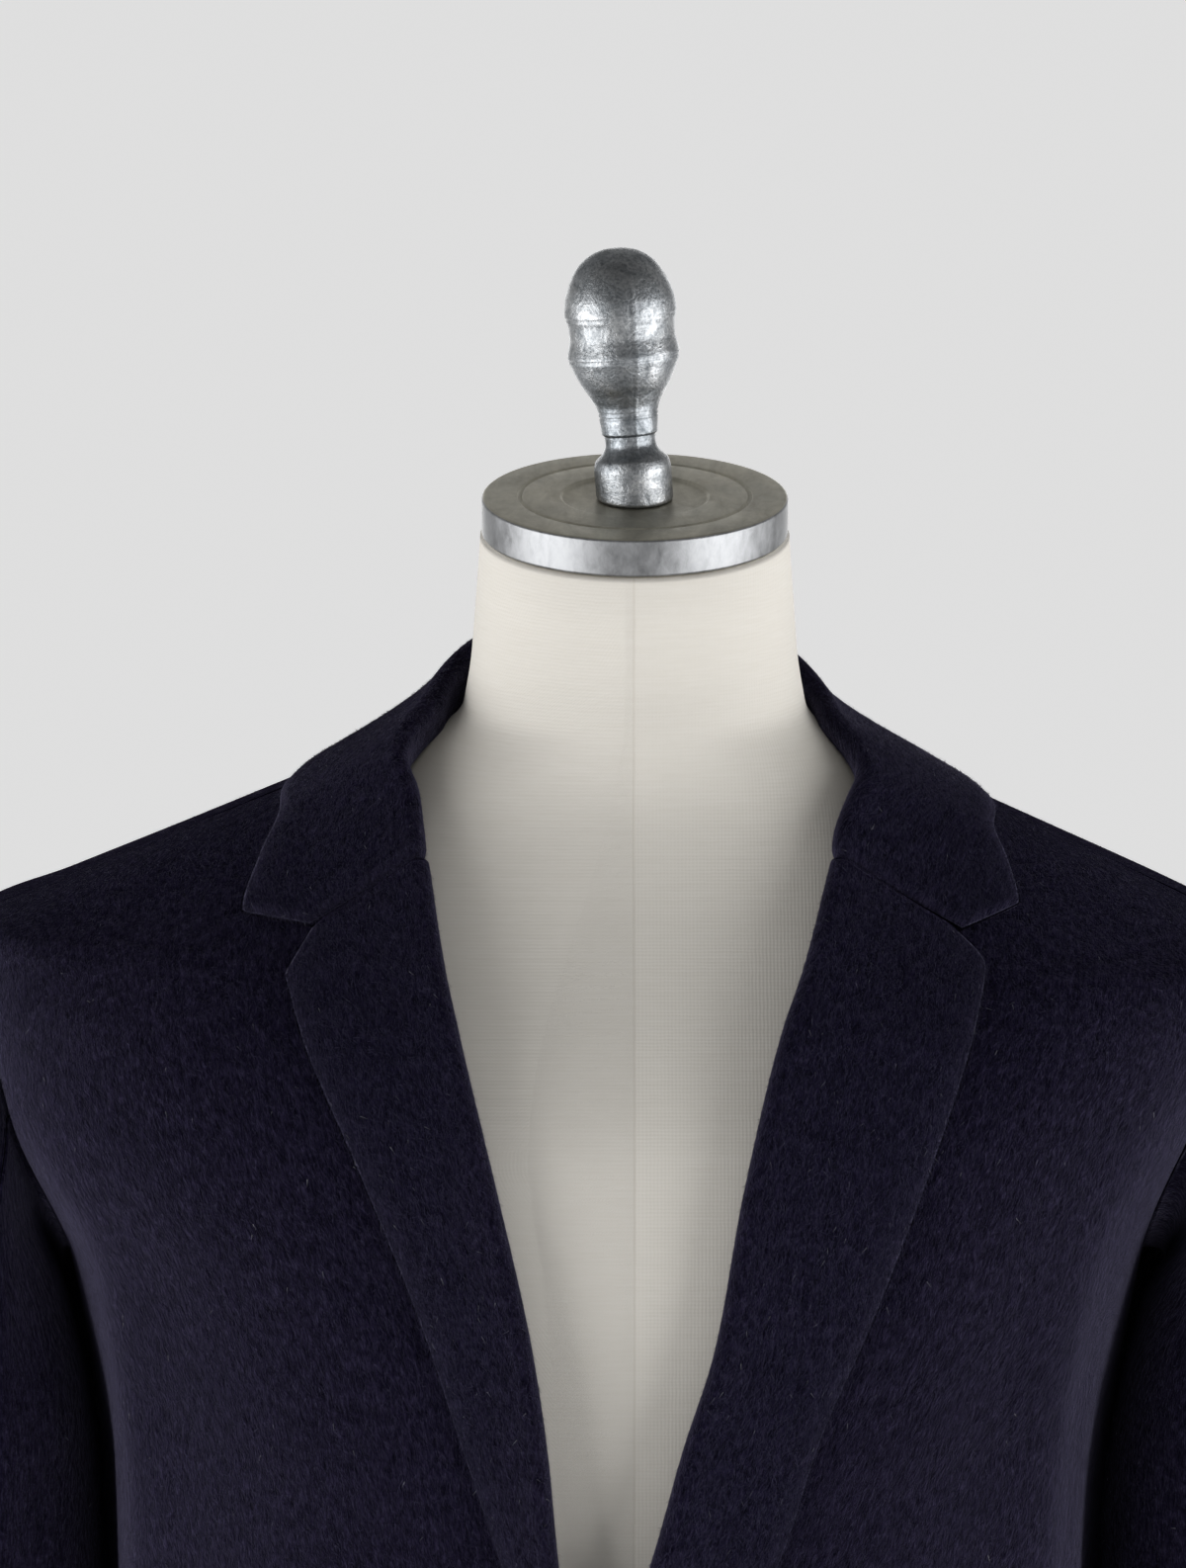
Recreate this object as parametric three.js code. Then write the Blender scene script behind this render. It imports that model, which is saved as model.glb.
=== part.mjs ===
// Wool overcoat with notch lapels, closed over a limbless dress form on a pole and a round base.
// Millimetres, +Z up, floor at z = 0, front of the coat towards -Y.
// "right" and "left" are the wearer's: right is -X, left is +X, and the left front lies on top.
import * as THREE from "three";

const { clamp, lerp, degToRad, smoothstep } = THREE.MathUtils;
const at = (x, y, z) => new THREE.Vector3(x, y, z);
const RIGHT = -1;
const LEFT = 1;

// Cloth
const WALL = 2.5; // body and sleeve cloth
const DOUBLE = 3; // collar and lapels, two layers as one
const SEAM = 0.3; // between pieces at a seam
const LIE = 1; // between a lapel or the collar and the cloth it lies on

// Levels of the coat
const HEM_Z = 430;
const BREAK_Z = 1070; // foot of the lapels, where the fronts cross
const GORGE_Z = 1398; // where lapel and collar meet on the roll line
const NECK_POINT_Z = 1439; // neck end of the shoulder seams
const NAPE_Z = 1449;
const UNDERARM_Z = 1240;
const SHOULDER_TIP_Z = { [RIGHT]: 1364, [LEFT]: 1356 };
const OVERLAP = 22; // each front passes the centre line by this much

// Grid counts
const LOW_ROWS = 10; // hem to break
const EDGE_ROWS = 8; // break to gorge
const NECK_ROWS = 4; // gorge to neck point
const SIDE_ROWS = 12; // hem to underarm
const ARM_ROWS = 10; // underarm to shoulder tip
const ROWS = SIDE_ROWS + ARM_ROWS;
const FRONT_COLUMNS = 10;
const NECK_COLUMNS = 4; // back neck, nape to neck point
const LOOP = 2 * ARM_ROWS; // points round an armhole and each sleeve ring

// Builds rows with named columns.
function table(columns, rows) {
  return rows.map((row) => Object.fromEntries(columns.map((name, i) => [name, row[i]])));
}

// Smooth curve through two columns of a table, without overshoot between rows.
function curve(rows, from, to) {
  const x = rows.map((row) => row[from]);
  const y = rows.map((row) => row[to]);
  const last = x.length - 1;
  const step = x.slice(1).map((value, i) => value - x[i]);
  const rise = step.map((h, i) => (y[i + 1] - y[i]) / h);
  const slope = y.map((_, i) => {
    if (i === 0) return rise[0];
    if (i === last) return rise[last - 1];
    if (rise[i - 1] * rise[i] <= 0) return 0;
    const before = 2 * step[i] + step[i - 1];
    const after = step[i] + 2 * step[i - 1];
    return (before + after) / (before / rise[i - 1] + after / rise[i]);
  });
  return (value) => {
    const v = clamp(value, x[0], x[last]);
    const i = Math.min(x.findLastIndex((knot) => knot <= v), last - 1);
    const t = (v - x[i]) / step[i];
    const near = (1 + 2 * t) * (1 - t) ** 2 * y[i] + t * (1 - t) ** 2 * step[i] * slope[i];
    const far = t * t * (3 - 2 * t) * y[i + 1] - t * t * (1 - t) * step[i] * slope[i + 1];
    return near + far;
  };
}

// Half-widths and depths of the closed coat. A higher power squares the section's corners.
const BODY = table(["z", "right", "left", "front", "back", "power"], [
  [430, 236, 234, 170, 170, 2.15],
  [620, 230, 228, 165, 164, 2.15],
  [820, 224, 220, 160, 157, 2.2],
  [960, 217, 203, 156, 149, 2.3],
  [1080, 209, 188, 155, 143, 2.5],
  [1160, 209, 187, 155, 146, 2.7],
  [1240, 218, 196, 150, 150, 2.9],
  [1300, 246, 222, 140, 149, 3],
  [1340, 255, 246, 124, 140, 2.9],
  [1356, 257, 252, 113, 133, 2.7],
  [1364, 258, 233, 107, 129, 2.6],
  [1377, 229.5, 206.5, 97, 121, 2.45],
  [1400, 174.5, 158.5, 79, 106, 2.3],
  [1421, 123.5, 114, 64, 94.8, 2.2],
  [1442, 73.6, 72, 57, 83, 2.2],
  [1458, 68, 68, 55, 76, 2.1],
]);
const halfWidth = { [RIGHT]: curve(BODY, "z", "right"), [LEFT]: curve(BODY, "z", "left") };
const frontDepth = curve(BODY, "z", "front");
const backDepth = curve(BODY, "z", "back");
const power = curve(BODY, "z", "power");

// Soft ridges and hollows of the hanging cloth. angle and width are degrees round the body from
// the centre front. The height grows from 0 at "top" to its whole size at "full".
const FOLDS = table(["side", "angle", "lean", "top", "full", "height", "width"], [
  [RIGHT, 55, 2, 1340, 1190, 5, 7],
  [RIGHT, 74, 4, 1260, 1120, -6, 7],
  [LEFT, 50, -3, 1340, 1180, 6, 7],
  [LEFT, 70, 0, 1280, 1120, -6, 8],
  [RIGHT, 33, 2, 960, 520, 5, 8],
  [LEFT, 30, 3, 900, 500, 4, 8],
  [RIGHT, 47, 2, 940, 520, -5, 7],
  [LEFT, 44, 3, 980, 540, -6, 7],
  [RIGHT, 100, -3, 1000, 520, 5, 8],
  [LEFT, 97, 0, 960, 500, 6, 8],
  [RIGHT, 121, 4, 1330, 1180, 5, 9],
  [LEFT, 124, 3, 1330, 1180, 4, 9],
  [RIGHT, 140, 4, 1100, 560, -6, 8],
  [LEFT, 143, 3, 1060, 540, -5, 8],
  [RIGHT, 160, 3, 980, 500, 6, 8],
  [LEFT, 163, 2, 1020, 520, 5, 7],
]);

function foldHeight(side, phi, z) {
  const angle = THREE.MathUtils.radToDeg(phi);
  let height = 0;
  for (const fold of FOLDS) {
    if (fold.side !== side) continue;
    const grown = smoothstep(fold.top - z, 0, fold.top - fold.full);
    const middle = fold.angle + fold.lean * grown;
    height += fold.height * grown * Math.exp(-(((angle - middle) / fold.width) ** 2));
  }
  return height;
}

const signedPower = (value, exponent) => Math.sign(value) * Math.abs(value) ** exponent;

// Point of the coat's outer surface. phi turns from 0 at the centre front through 90 degrees at
// the side to 180 at the centre back.
function bodyPoint(side, phi, z) {
  const sine = Math.sin(phi);
  const cosine = Math.cos(phi);
  const depth = (cosine > 0 ? frontDepth : backDepth)(z);
  const across = halfWidth[side](z) * signedPower(sine, 2 / power(z));
  const along = -depth * signedPower(cosine, 2 / power(z));
  const swell = 1 + foldHeight(side, phi, z) / Math.hypot(across, along);
  return at(side * across * swell, along * swell, z);
}

// Angle of the surface point that is "across" from the centre line on its own side.
function phiAt(side, across, z) {
  const share = clamp(across / halfWidth[side](z), -1, 1);
  return Math.asin(signedPower(share, power(z) / 2));
}

// Surface point with its outward normal. On the right front, the part under the left front is
// set back by a little more than the cloth's thickness.
const UNDERLAP = { depth: 3.8, clearX: -48, fullX: -26, clearZ: 1180, fullZ: 1095 };

function frame(side, phi, z) {
  const turn = 1e-3;
  const lift = 0.5;
  const round = bodyPoint(side, phi + turn, z).sub(bodyPoint(side, phi - turn, z));
  const up = bodyPoint(side, phi, z + lift).sub(bodyPoint(side, phi, z - lift));
  const point = bodyPoint(side, phi, z);
  const normal = round.cross(up).normalize();
  if (normal.x * point.x + normal.y * point.y < 0) normal.negate();
  if (side === RIGHT && Math.cos(phi) > 0) {
    const inX = smoothstep(point.x, UNDERLAP.clearX, UNDERLAP.fullX);
    const inZ = 1 - smoothstep(z, UNDERLAP.fullZ, UNDERLAP.clearZ);
    point.addScaledVector(normal, -UNDERLAP.depth * inX * inZ);
  }
  return { point, normal };
}

// Closed solid from two grids of points with the same counts, rows by columns. The four-sided
// faces round its rim are split from the corner further along SPLIT, so that the two faces of a
// seam have the same folds.
const SPLIT = at(0.11, 0.37, 1);

function solidBetween(outer, inner) {
  const rows = outer.length;
  const columns = outer[0].length;
  const points = [...outer.flat(), ...inner.flat()];
  const index = [];
  const id = (layer, r, c) => layer * rows * columns + r * columns + c;
  const quad = (a, b, c, d) => index.push(a, b, c, a, c, d);
  for (let r = 0; r < rows - 1; r++)
    for (let c = 0; c < columns - 1; c++) {
      quad(id(0, r, c), id(0, r, c + 1), id(0, r + 1, c + 1), id(0, r + 1, c));
      quad(id(1, r, c), id(1, r + 1, c), id(1, r + 1, c + 1), id(1, r, c + 1));
    }
  const rim = (r, c, nextR, nextC) => {
    const corners = [id(0, r, c), id(1, r, c), id(1, nextR, nextC), id(0, nextR, nextC)];
    const [first, , , last] = corners;
    if (points[first].dot(SPLIT) < points[last].dot(SPLIT)) corners.push(corners.shift());
    quad(...corners);
  };
  for (let r = 0; r < rows - 1; r++) {
    rim(r + 1, 0, r, 0);
    rim(r, columns - 1, r + 1, columns - 1);
  }
  for (let c = 0; c < columns - 1; c++) {
    rim(0, c, 0, c + 1);
    rim(rows - 1, c + 1, rows - 1, c);
  }
  return geometry(points, index);
}

// Indexed geometry, turned so that its faces look outwards.
function geometry(points, index) {
  let volume = 0;
  for (let i = 0; i < index.length; i += 3) {
    const [a, b, c] = index.slice(i, i + 3).map((n) => points[n]);
    volume += a.dot(b.clone().cross(c));
  }
  const faces = volume > 0 ? index : index.slice().reverse();
  const made = new THREE.BufferGeometry().setFromPoints(points);
  made.setIndex(faces);
  made.computeVertexNormals();
  return made;
}

// Unit vector of v with its parts along the given unit vectors taken out.
function clearOf(v, ...units) {
  const rest = v.clone();
  for (const unit of units) rest.addScaledVector(unit, -rest.dot(unit));
  return rest.normalize();
}

const towards = (from, to) => to.clone().sub(from).normalize();

// Unit tangent of a line of points at place i.
function tangent(line, i) {
  const before = i > 0 ? towards(line[i - 1], line[i]) : at(0, 0, 0);
  const after = i < line.length - 1 ? towards(line[i], line[i + 1]) : at(0, 0, 0);
  return before.add(after).normalize();
}

// Moves one border line of points away from the piece's edge, towards its neighbour line.
function drawIn(border, neighbour, distance = SEAM / 2) {
  const moved = border.map((point, i) => {
    const way = clearOf(neighbour[i].clone().sub(point), tangent(border, i));
    return point.clone().addScaledVector(way, distance);
  });
  moved.forEach((point, i) => border[i].copy(point));
}

const column = (grid, c) => grid.map((row) => row.at(c));

// Places of an armhole as angle and level: 0 is the underarm, ARM_ROWS the shoulder tip, and the
// places run up the front and down the back.
const ARMHOLE_REACH = degToRad(20);

function armholePlace(side, step) {
  const turn = (Math.PI * step) / ARM_ROWS;
  const height = (1 - Math.cos(turn)) / 2;
  const reach = ARMHOLE_REACH * signedPower(Math.sin(turn), 0.8);
  return { phi: Math.PI / 2 - reach, z: lerp(UNDERARM_Z, SHOULDER_TIP_Z[side], height) };
}

// Sleeve rings from the armhole to the cuff. inner and outer are distances from the centre line
// on the body side and the far side. fall is the outer side's drop below the shoulder tip. half
// is half the width from front to back, and middle its centre. The inner side lies along the
// body, clear of it by "clear".
const SLEEVE = table(["inner", "innerZ", "outer", "fall", "half", "middle", "clear"], [
  [219, 1240, 258, 0, 74, 0, 0],
  [222, 1233, 271, 8, 76, 1, 3],
  [221, 1222, 281, 24, 79, 1, 4],
  [219, 1206, 289, 46, 82, 0, 4],
  [217, 1184, 296, 82, 84, -2, 4],
  [216, 1156, 301, 122, 85, -4, 4],
  [216, 1122, 304, 168, 85, -6, 4],
  [217, 1084, 306, 216, 84, -8, 4],
  [219, 1042, 307, 266, 82, -11, 4],
  [221, 996, 307, 318, 79, -14, 5],
  [224, 946, 307, 372, 75, -18, 6],
  [227, 892, 307, 428, 71, -23, 6],
  [230, 836, 307, 486, 67, -28, 6],
  [233, 778, 306, 576, 64, -34, 6],
]);
const SLEEVE_POWER = 2.3;
const CREASE_POWER = 1.25; // how soon the front of the body side falls back into the crease
const SLEEVE_LEAD = { [RIGHT]: 0, [LEFT]: -18 }; // how far it hangs forward
const SLEEVE_YAW = { [RIGHT]: degToRad(9), [LEFT]: degToRad(16) };
const BLEND_RINGS = 4; // rings over which the armhole's shape turns into the sleeve's

// Distance of the body's surface from the centre line at a depth y and level z.
function bodyReach(side, y, z) {
  const depth = (y < 0 ? frontDepth : backDepth)(z);
  const share = Math.min(1, Math.abs(y) / depth);
  const turn = Math.acos(share ** (power(z) / 2));
  return Math.abs(bodyPoint(side, y < 0 ? turn : Math.PI - turn, z).x);
}

function sleeveRings(side) {
  const loop = Array.from({ length: LOOP }, (_, j) => armholePlace(side, j));
  return SLEEVE.map((ring, k) => {
    const points = loop.map((place, j) => {
      const start = bodyPoint(side, place.phi, place.z);
      if (k === 0) return start;
      const turn = (2 * Math.PI * j) / LOOP;
      const inward = signedPower(Math.cos(turn), 2 / SLEEVE_POWER);
      const creased = j < ARM_ROWS / 2;
      const forward = signedPower(Math.sin(turn), creased ? CREASE_POWER : 2 / SLEEVE_POWER);
      const outerZ = SHOULDER_TIP_Z[side] - ring.fall;
      const lead = SLEEVE_LEAD[side] * smoothstep(k, 0, 6);
      const y = ring.middle + lead - forward * ring.half;
      const z = (ring.innerZ + outerZ) / 2 + (inward * (ring.innerZ - outerZ)) / 2;
      const yaw = forward * ring.half * Math.tan(SLEEVE_YAW[side]);
      const across = (ring.inner + ring.outer) / 2 - (inward * (ring.outer - ring.inner)) / 2 - yaw;
      const shaped = at(side * across, y, z);
      const blended = start.lerp(shaped, 1 - Math.max(0, 1 - k / BLEND_RINGS) ** 1.6);
      const least = bodyReach(side, blended.y, blended.z) + ring.clear;
      const held = smoothstep(k, 1, 3) * (1 - smoothstep(k, 8, 11));
      const lies = smoothstep(inward, 0.25, 0.8) * held;
      const reach = lerp(Math.abs(blended.x), least, lies);
      blended.x = side * Math.max(reach, least);
      return blended;
    });
    points.push(points[0].clone());
    return points;
  });
}

// Seam of body and sleeve at each armhole point: mitre leads from the outer to the inner corner,
// and away points from the body to the sleeve, square to the seam.
function armholeSeam(side, rings) {
  const loop = rings[0];
  const centre = at(0, 0, 0);
  loop.slice(0, LOOP).forEach((point) => centre.addScaledVector(point, 1 / LOOP));
  return loop.map((point, j) => {
    const place = armholePlace(side, j);
    const before = loop[(j - 1 + LOOP) % LOOP];
    const after = loop[(j + 1) % LOOP];
    const along = towards(before, after);
    const { normal } = frame(side, place.phi, place.z);
    const hole = clearOf(centre.clone().sub(point), normal, along);
    const sleeveNormal = along.clone().cross(rings[1][j].clone().sub(point)).normalize();
    if (sleeveNormal.dot(towards(centre, point)) < 0) sleeveNormal.negate();
    const mitre = clearOf(normal.clone().add(sleeveNormal), along);
    const away = along.clone().cross(mitre).normalize();
    if (away.dot(hole) + away.dot(normal) < 0) away.negate();
    const length = WALL / Math.max(0.4, mitre.dot(normal));
    return { mitre: mitre.multiplyScalar(-length), away };
  });
}

// Distance from the centre line of the roll lines, measured along +X, and of the lapels' edges.
const ROLL = table(["z", "right", "left"], [
  [1068, -20, -22],
  [1110, -24.5, -8.5],
  [1151, -29.5, 5.8],
  [1194.5, -33.6, 17.8],
  [1231, -39, 29.3],
  [1289, -52, 40.1],
  [1341, -65.5, 53.5],
  [1364, -71.5, 62.7],
  [1398, -78, 73.5],
]);
const roll = { [RIGHT]: curve(ROLL, "z", "right"), [LEFT]: curve(ROLL, "z", "left") };
const FOLD_RADIUS = 3.5; // of the cloth's middle, at the roll line
const foldRadius = (z) => lerp(1.9, FOLD_RADIUS, smoothstep(z, BREAK_Z, BREAK_Z + 120));

// The front's own edge lies behind the fold by the fold's reach.
const edgeSetBack = (z) => (foldRadius(z) + DOUBLE / 2) * smoothstep(z, BREAK_Z - 10, BREAK_Z + 60);
const NECK_EDGE = {
  [RIGHT]: table(["x", "z"], [[-85.5, 1408], [-88, 1419], [-88.5, 1430]]),
  [LEFT]: table(["x", "z"], [[80, 1407], [84, 1417], [86, 1428]]),
};

// Front edge, roll line and neck edge of a front, row by row.
function innerPlace(side, row) {
  const lowStep = (BREAK_Z - HEM_Z) / LOW_ROWS;
  if (row <= LOW_ROWS) {
    const z = HEM_Z + lowStep * row;
    const meets = side === RIGHT && row === LOW_ROWS;
    const x = meets ? roll[RIGHT](z) : -side * OVERLAP;
    return { phi: phiAt(side, side * x, z), z };
  }
  if (row <= LOW_ROWS + EDGE_ROWS) {
    const z = lerp(BREAK_Z, GORGE_Z, (row - LOW_ROWS) / EDGE_ROWS);
    const x = roll[side](z) + side * edgeSetBack(z);
    return { phi: phiAt(side, side * x, z), z };
  }
  if (row < ROWS) {
    const { x, z } = NECK_EDGE[side][row - LOW_ROWS - EDGE_ROWS - 1];
    return { phi: phiAt(side, side * x, z), z };
  }
  return { phi: Math.PI / 2, z: NECK_POINT_Z };
}

// Side seam, then the armhole: front half for the fronts, back half for the backs.
function outerPlace(side, row, back) {
  if (row <= SIDE_ROWS) return { phi: Math.PI / 2, z: lerp(HEM_Z, UNDERARM_Z, row / SIDE_ROWS) };
  const step = row - SIDE_ROWS;
  return armholePlace(side, back ? LOOP - step : step);
}

function mix(a, b, share) {
  return { phi: lerp(a.phi, b.phi, share), z: lerp(a.z, b.z, share) };
}

function frontPlaces(side) {
  return Array.from({ length: ROWS + 1 }, (_, row) => {
    const inner = innerPlace(side, row);
    const outer = outerPlace(side, row, false);
    return Array.from({ length: FRONT_COLUMNS + 1 }, (_, c) => mix(inner, outer, c / FRONT_COLUMNS));
  });
}

// The back's top row runs from the nape to the neck point and on along the shoulder.
function backPlaces(side) {
  const columns = NECK_COLUMNS + FRONT_COLUMNS;
  const nape = { phi: Math.PI, z: NAPE_Z };
  const neckPoint = { phi: Math.PI / 2, z: NECK_POINT_Z };
  const tip = outerPlace(side, ROWS, true);
  return Array.from({ length: ROWS + 1 }, (_, row) => {
    const inner = { phi: Math.PI, z: lerp(HEM_Z, NAPE_Z, row / ROWS) };
    const outer = outerPlace(side, row, true);
    const nearTop = clamp((row - SIDE_ROWS) / ARM_ROWS, 0, 1) ** 2;
    return Array.from({ length: columns + 1 }, (_, c) => {
      const top =
        c <= NECK_COLUMNS
          ? mix(nape, neckPoint, c / NECK_COLUMNS)
          : mix(neckPoint, tip, (c - NECK_COLUMNS) / FRONT_COLUMNS);
      const straight = mix(nape, tip, c / columns);
      const place = mix(inner, outer, c / columns);
      place.phi += nearTop * (top.phi - straight.phi);
      place.z += nearTop * (top.z - straight.z);
      return place;
    });
  });
}

// Wall of a body panel. Its last column follows the side seam and the armhole.
function bodyPanel(side, places, back, seam) {
  const frames = places.map((row) => row.map(({ phi, z }) => frame(side, phi, z)));
  const outer = frames.map((row) => row.map(({ point }) => point.clone()));
  const inner = frames.map((row) =>
    row.map(({ point, normal }) => point.clone().addScaledVector(normal, -WALL)),
  );
  const last = outer[0].length - 1;
  for (let row = SIDE_ROWS; row <= ROWS; row++) {
    const step = row - SIDE_ROWS;
    const { mitre, away } = seam[back ? (LOOP - step) % LOOP : step];
    inner[row][last].copy(outer[row][last]).add(mitre);
    outer[row][last].addScaledVector(away, -SEAM / 2);
    inner[row][last].addScaledVector(away, -SEAM / 2);
  }
  for (const grid of [outer, inner]) {
    const sideLine = column(grid, last).slice(0, SIDE_ROWS + 1);
    drawIn(sideLine, column(grid, last - 1).slice(0, SIDE_ROWS + 1));
    const neckEnd = back ? NECK_COLUMNS : 0;
    drawIn(grid[ROWS].slice(neckEnd), grid[ROWS - 1].slice(neckEnd));
    if (back) drawIn(column(grid, 0), column(grid, 1));
  }
  return { frames, solid: solidBetween(outer, inner) };
}

// Edge of a panel as stations with the point, the outward normal and the way off the cloth.
function edgeStations(frames, neighbours) {
  const points = frames.map(({ point }) => point);
  return frames.map(({ point, normal }, i) => {
    const off = point.clone().sub(neighbours[i].point);
    return { point, normal, off: clearOf(off, normal, tangent(points, i)) };
  });
}

function between(a, b, share) {
  return {
    point: a.point.clone().lerp(b.point, share),
    normal: a.normal.clone().lerp(b.normal, share).normalize(),
    off: a.off.clone().lerp(b.off, share).normalize(),
  };
}

// One cross-section of a folded sheet: it stands on an edge, turns over, and lies on the cloth.
// base is the line it lies over, from the edge outwards. reach is the distance over which the
// fold's height settles, and settle the power of that settling.
const ARC_STEPS = 6;

function foldedLine({ edge, up, out, stand, radius, base, reach, settle }) {
  const start = edge.point.clone().addScaledVector(edge.normal, -WALL / 2);
  const turned = Math.sqrt(Math.max(0, 1 - up.dot(edge.off) ** 2));
  start.addScaledVector(edge.off, SEAM + (DOUBLE / 2) * turned);
  const centre = start.clone().addScaledVector(up, stand).addScaledVector(out, radius);
  const lie = LIE + DOUBLE / 2;
  const foot = base[0].point.clone().addScaledVector(base[0].normal, lie);
  const laid = (item, top) => {
    const left = Math.max(0, 1 - base[0].point.distanceTo(item.point) / reach) ** settle;
    const raised = top.clone().sub(foot).multiplyScalar(left);
    return item.point.clone().addScaledVector(item.normal, lie).add(raised);
  };
  const onArc = (angle) =>
    centre
      .clone()
      .addScaledVector(out, -radius * Math.cos(angle))
      .addScaledVector(up, radius * Math.sin(angle));
  const way = laid(base[1], onArc(Math.PI)).sub(onArc(Math.PI));
  const end = (Math.atan2(way.dot(out), way.dot(up)) + 2 * Math.PI) % (2 * Math.PI);
  const line = [start, start.clone().addScaledVector(up, stand / 2)];
  for (let i = 0; i <= ARC_STEPS; i++) line.push(onArc((end * i) / ARC_STEPS));
  for (const item of base.slice(1)) line.push(laid(item, onArc(end)));
  return line;
}

// Wall of even thickness about a grid of its middle points.
function wallAbout(lines) {
  const normals = lines.map((line, s) =>
    line.map((_, i) => tangent(column(lines, i), s).cross(tangent(line, i)).normalize()),
  );
  const face = (height) =>
    lines.map((line, s) =>
      line.map((point, i) => point.clone().addScaledVector(normals[s][i], height)),
    );
  return [face(DOUBLE / 2), face(-DOUBLE / 2)];
}

// Lapel edge, notch and gorge
const LAPEL_EDGE = table(["z", "right", "left"], [
  [1068, -23, -16],
  [1088, -28.5, 6],
  [1110, -35.5, 28],
  [1150, -48.8, 51.4],
  [1201, -65.8, 68.5],
  [1240, -78.8, 85.8],
  [1296, -102, 108],
  [1344, -124.5, 125.2],
  [1366, -131.8, 131.1],
]);
const lapelEdge = {
  [RIGHT]: curve(LAPEL_EDGE, "z", "right"),
  [LEFT]: curve(LAPEL_EDGE, "z", "left"),
};
const LAPEL_TIP_Z = { [RIGHT]: 1362.5, [LEFT]: 1366 };
const LAPEL_FOOT = { [RIGHT]: 0.75, [LEFT]: 0.2 }; // rows above the break row
const NOTCH = { [RIGHT]: { x: -120.5, z: 1377.5 }, [LEFT]: { x: 120.2, z: 1375.5 } };
const COLLAR_TIP = { [RIGHT]: { x: -147.5, z: 1380.5 }, [LEFT]: { x: 143.3, z: 1382.5 } };
const ROLL_STAND = 1;
const ROLL_REACH = 42; // the fold's height settles over this distance

const GORGE_SHARES = [0, 0.1, 0.25, 0.45, 0.7, 1];
const LAPEL_POINT_SHARES = [0.5, 1]; // notch to lapel tip
const COLLAR_POINT_SHARES = [0.5, 1]; // notch to collar tip

const mixXZ = (a, b, share) => ({ x: lerp(a.x, b.x, share), z: lerp(a.z, b.z, share) });

// Line from the gorge's roll end to the notch, then to a tip.
function gorgeLine(start, notch, tip, pointShares) {
  const inner = GORGE_SHARES.map((share) => mixXZ(start, notch, share));
  return [...inner, ...pointShares.map((share) => mixXZ(notch, tip, share))];
}

function surfaceAtX(side, { x, z }) {
  return frame(side, phiAt(side, side * x, z), z);
}

function lapel(side, edge) {
  const gorge = edge.at(-1);
  const start = { x: gorge.point.x, z: gorge.point.z };
  const tip = { x: lapelEdge[side](LAPEL_TIP_Z[side]), z: LAPEL_TIP_Z[side] };
  const topLine = gorgeLine(start, NOTCH[side], tip, LAPEL_POINT_SHARES);
  const width = Math.hypot(tip.x - start.x, tip.z - start.z);
  const shares = topLine.map(({ x, z }) => Math.hypot(x - start.x, z - start.z) / width);
  shares[shares.length - 1] = 1;
  shares[shares.length - 2] = (shares.at(-3) + 1) / 2;
  const foot = between(edge[0], edge[1], LAPEL_FOOT[side]);
  const stations = [foot];
  for (let i = 1; i < edge.length; i++) {
    if (i > 1) stations.push(between(edge[i - 1], edge[i], 0.5));
    stations.push(edge[i]);
  }
  const lines = stations.map((station) => {
    const { point } = station;
    const up = (point.z - foot.point.z) / (gorge.point.z - foot.point.z);
    const edgeZ = lerp(foot.point.z, LAPEL_TIP_Z[side], up);
    const inner = { x: point.x, z: point.z };
    const outer = { x: lapelEdge[side](edgeZ), z: edgeZ };
    const nearTop = clamp((up - 0.6) / 0.4, 0, 1) ** 2;
    const base = shares.map((share, i) => {
      const place = mixXZ(inner, outer, share);
      const straight = mixXZ(start, tip, share);
      place.x += nearTop * (topLine[i].x - straight.x);
      place.z += nearTop * (topLine[i].z - straight.z);
      return i === 0 ? station : surfaceAtX(side, place);
    });
    const across = base[0].point.distanceTo(base.at(-1).point);
    return foldedLine({
      edge: station,
      up: station.off,
      out: station.normal,
      stand: ROLL_STAND,
      radius: foldRadius(point.z),
      base,
      reach: Math.min(ROLL_REACH, across * 0.9),
      settle: 2,
    });
  });
  const faces = wallAbout(lines);
  for (const grid of faces) drawIn(grid.at(-1), grid.at(-2));
  return solidBetween(...faces);
}

// Collar: share runs from 0 at the gorge through 1 at the neck point to 2 at the nape. phi and z
// place its outer edge on the body, stand is the height of the part inside the fold.
const COLLAR = table(
  ["share", "rightPhi", "rightZ", "rightStand", "leftPhi", "leftZ", "leftStand"],
  [
    [0, 37.8, 1380.5, 1, 43.9, 1382.5, 1],
    [0.35, 49.8, 1398, 2.5, 55, 1396, 1.5],
    [0.7, 65, 1411, 7, 66, 1405, 2],
    [1, 92, 1418, 10, 93, 1411.5, 3],
    [1.5, 136, 1425, 21, 136, 1423, 17],
    [2, 180, 1432, 28, 180, 1432, 28],
  ],
);
const collarCurve = (name) => ({
  [RIGHT]: curve(COLLAR, "share", "right" + name),
  [LEFT]: curve(COLLAR, "share", "left" + name),
});
const collarPhi = collarCurve("Phi");
const collarZ = collarCurve("Z");
const collarStand = collarCurve("Stand");
const STAND_LEAN = 0.12; // of the stand towards the neck

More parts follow.
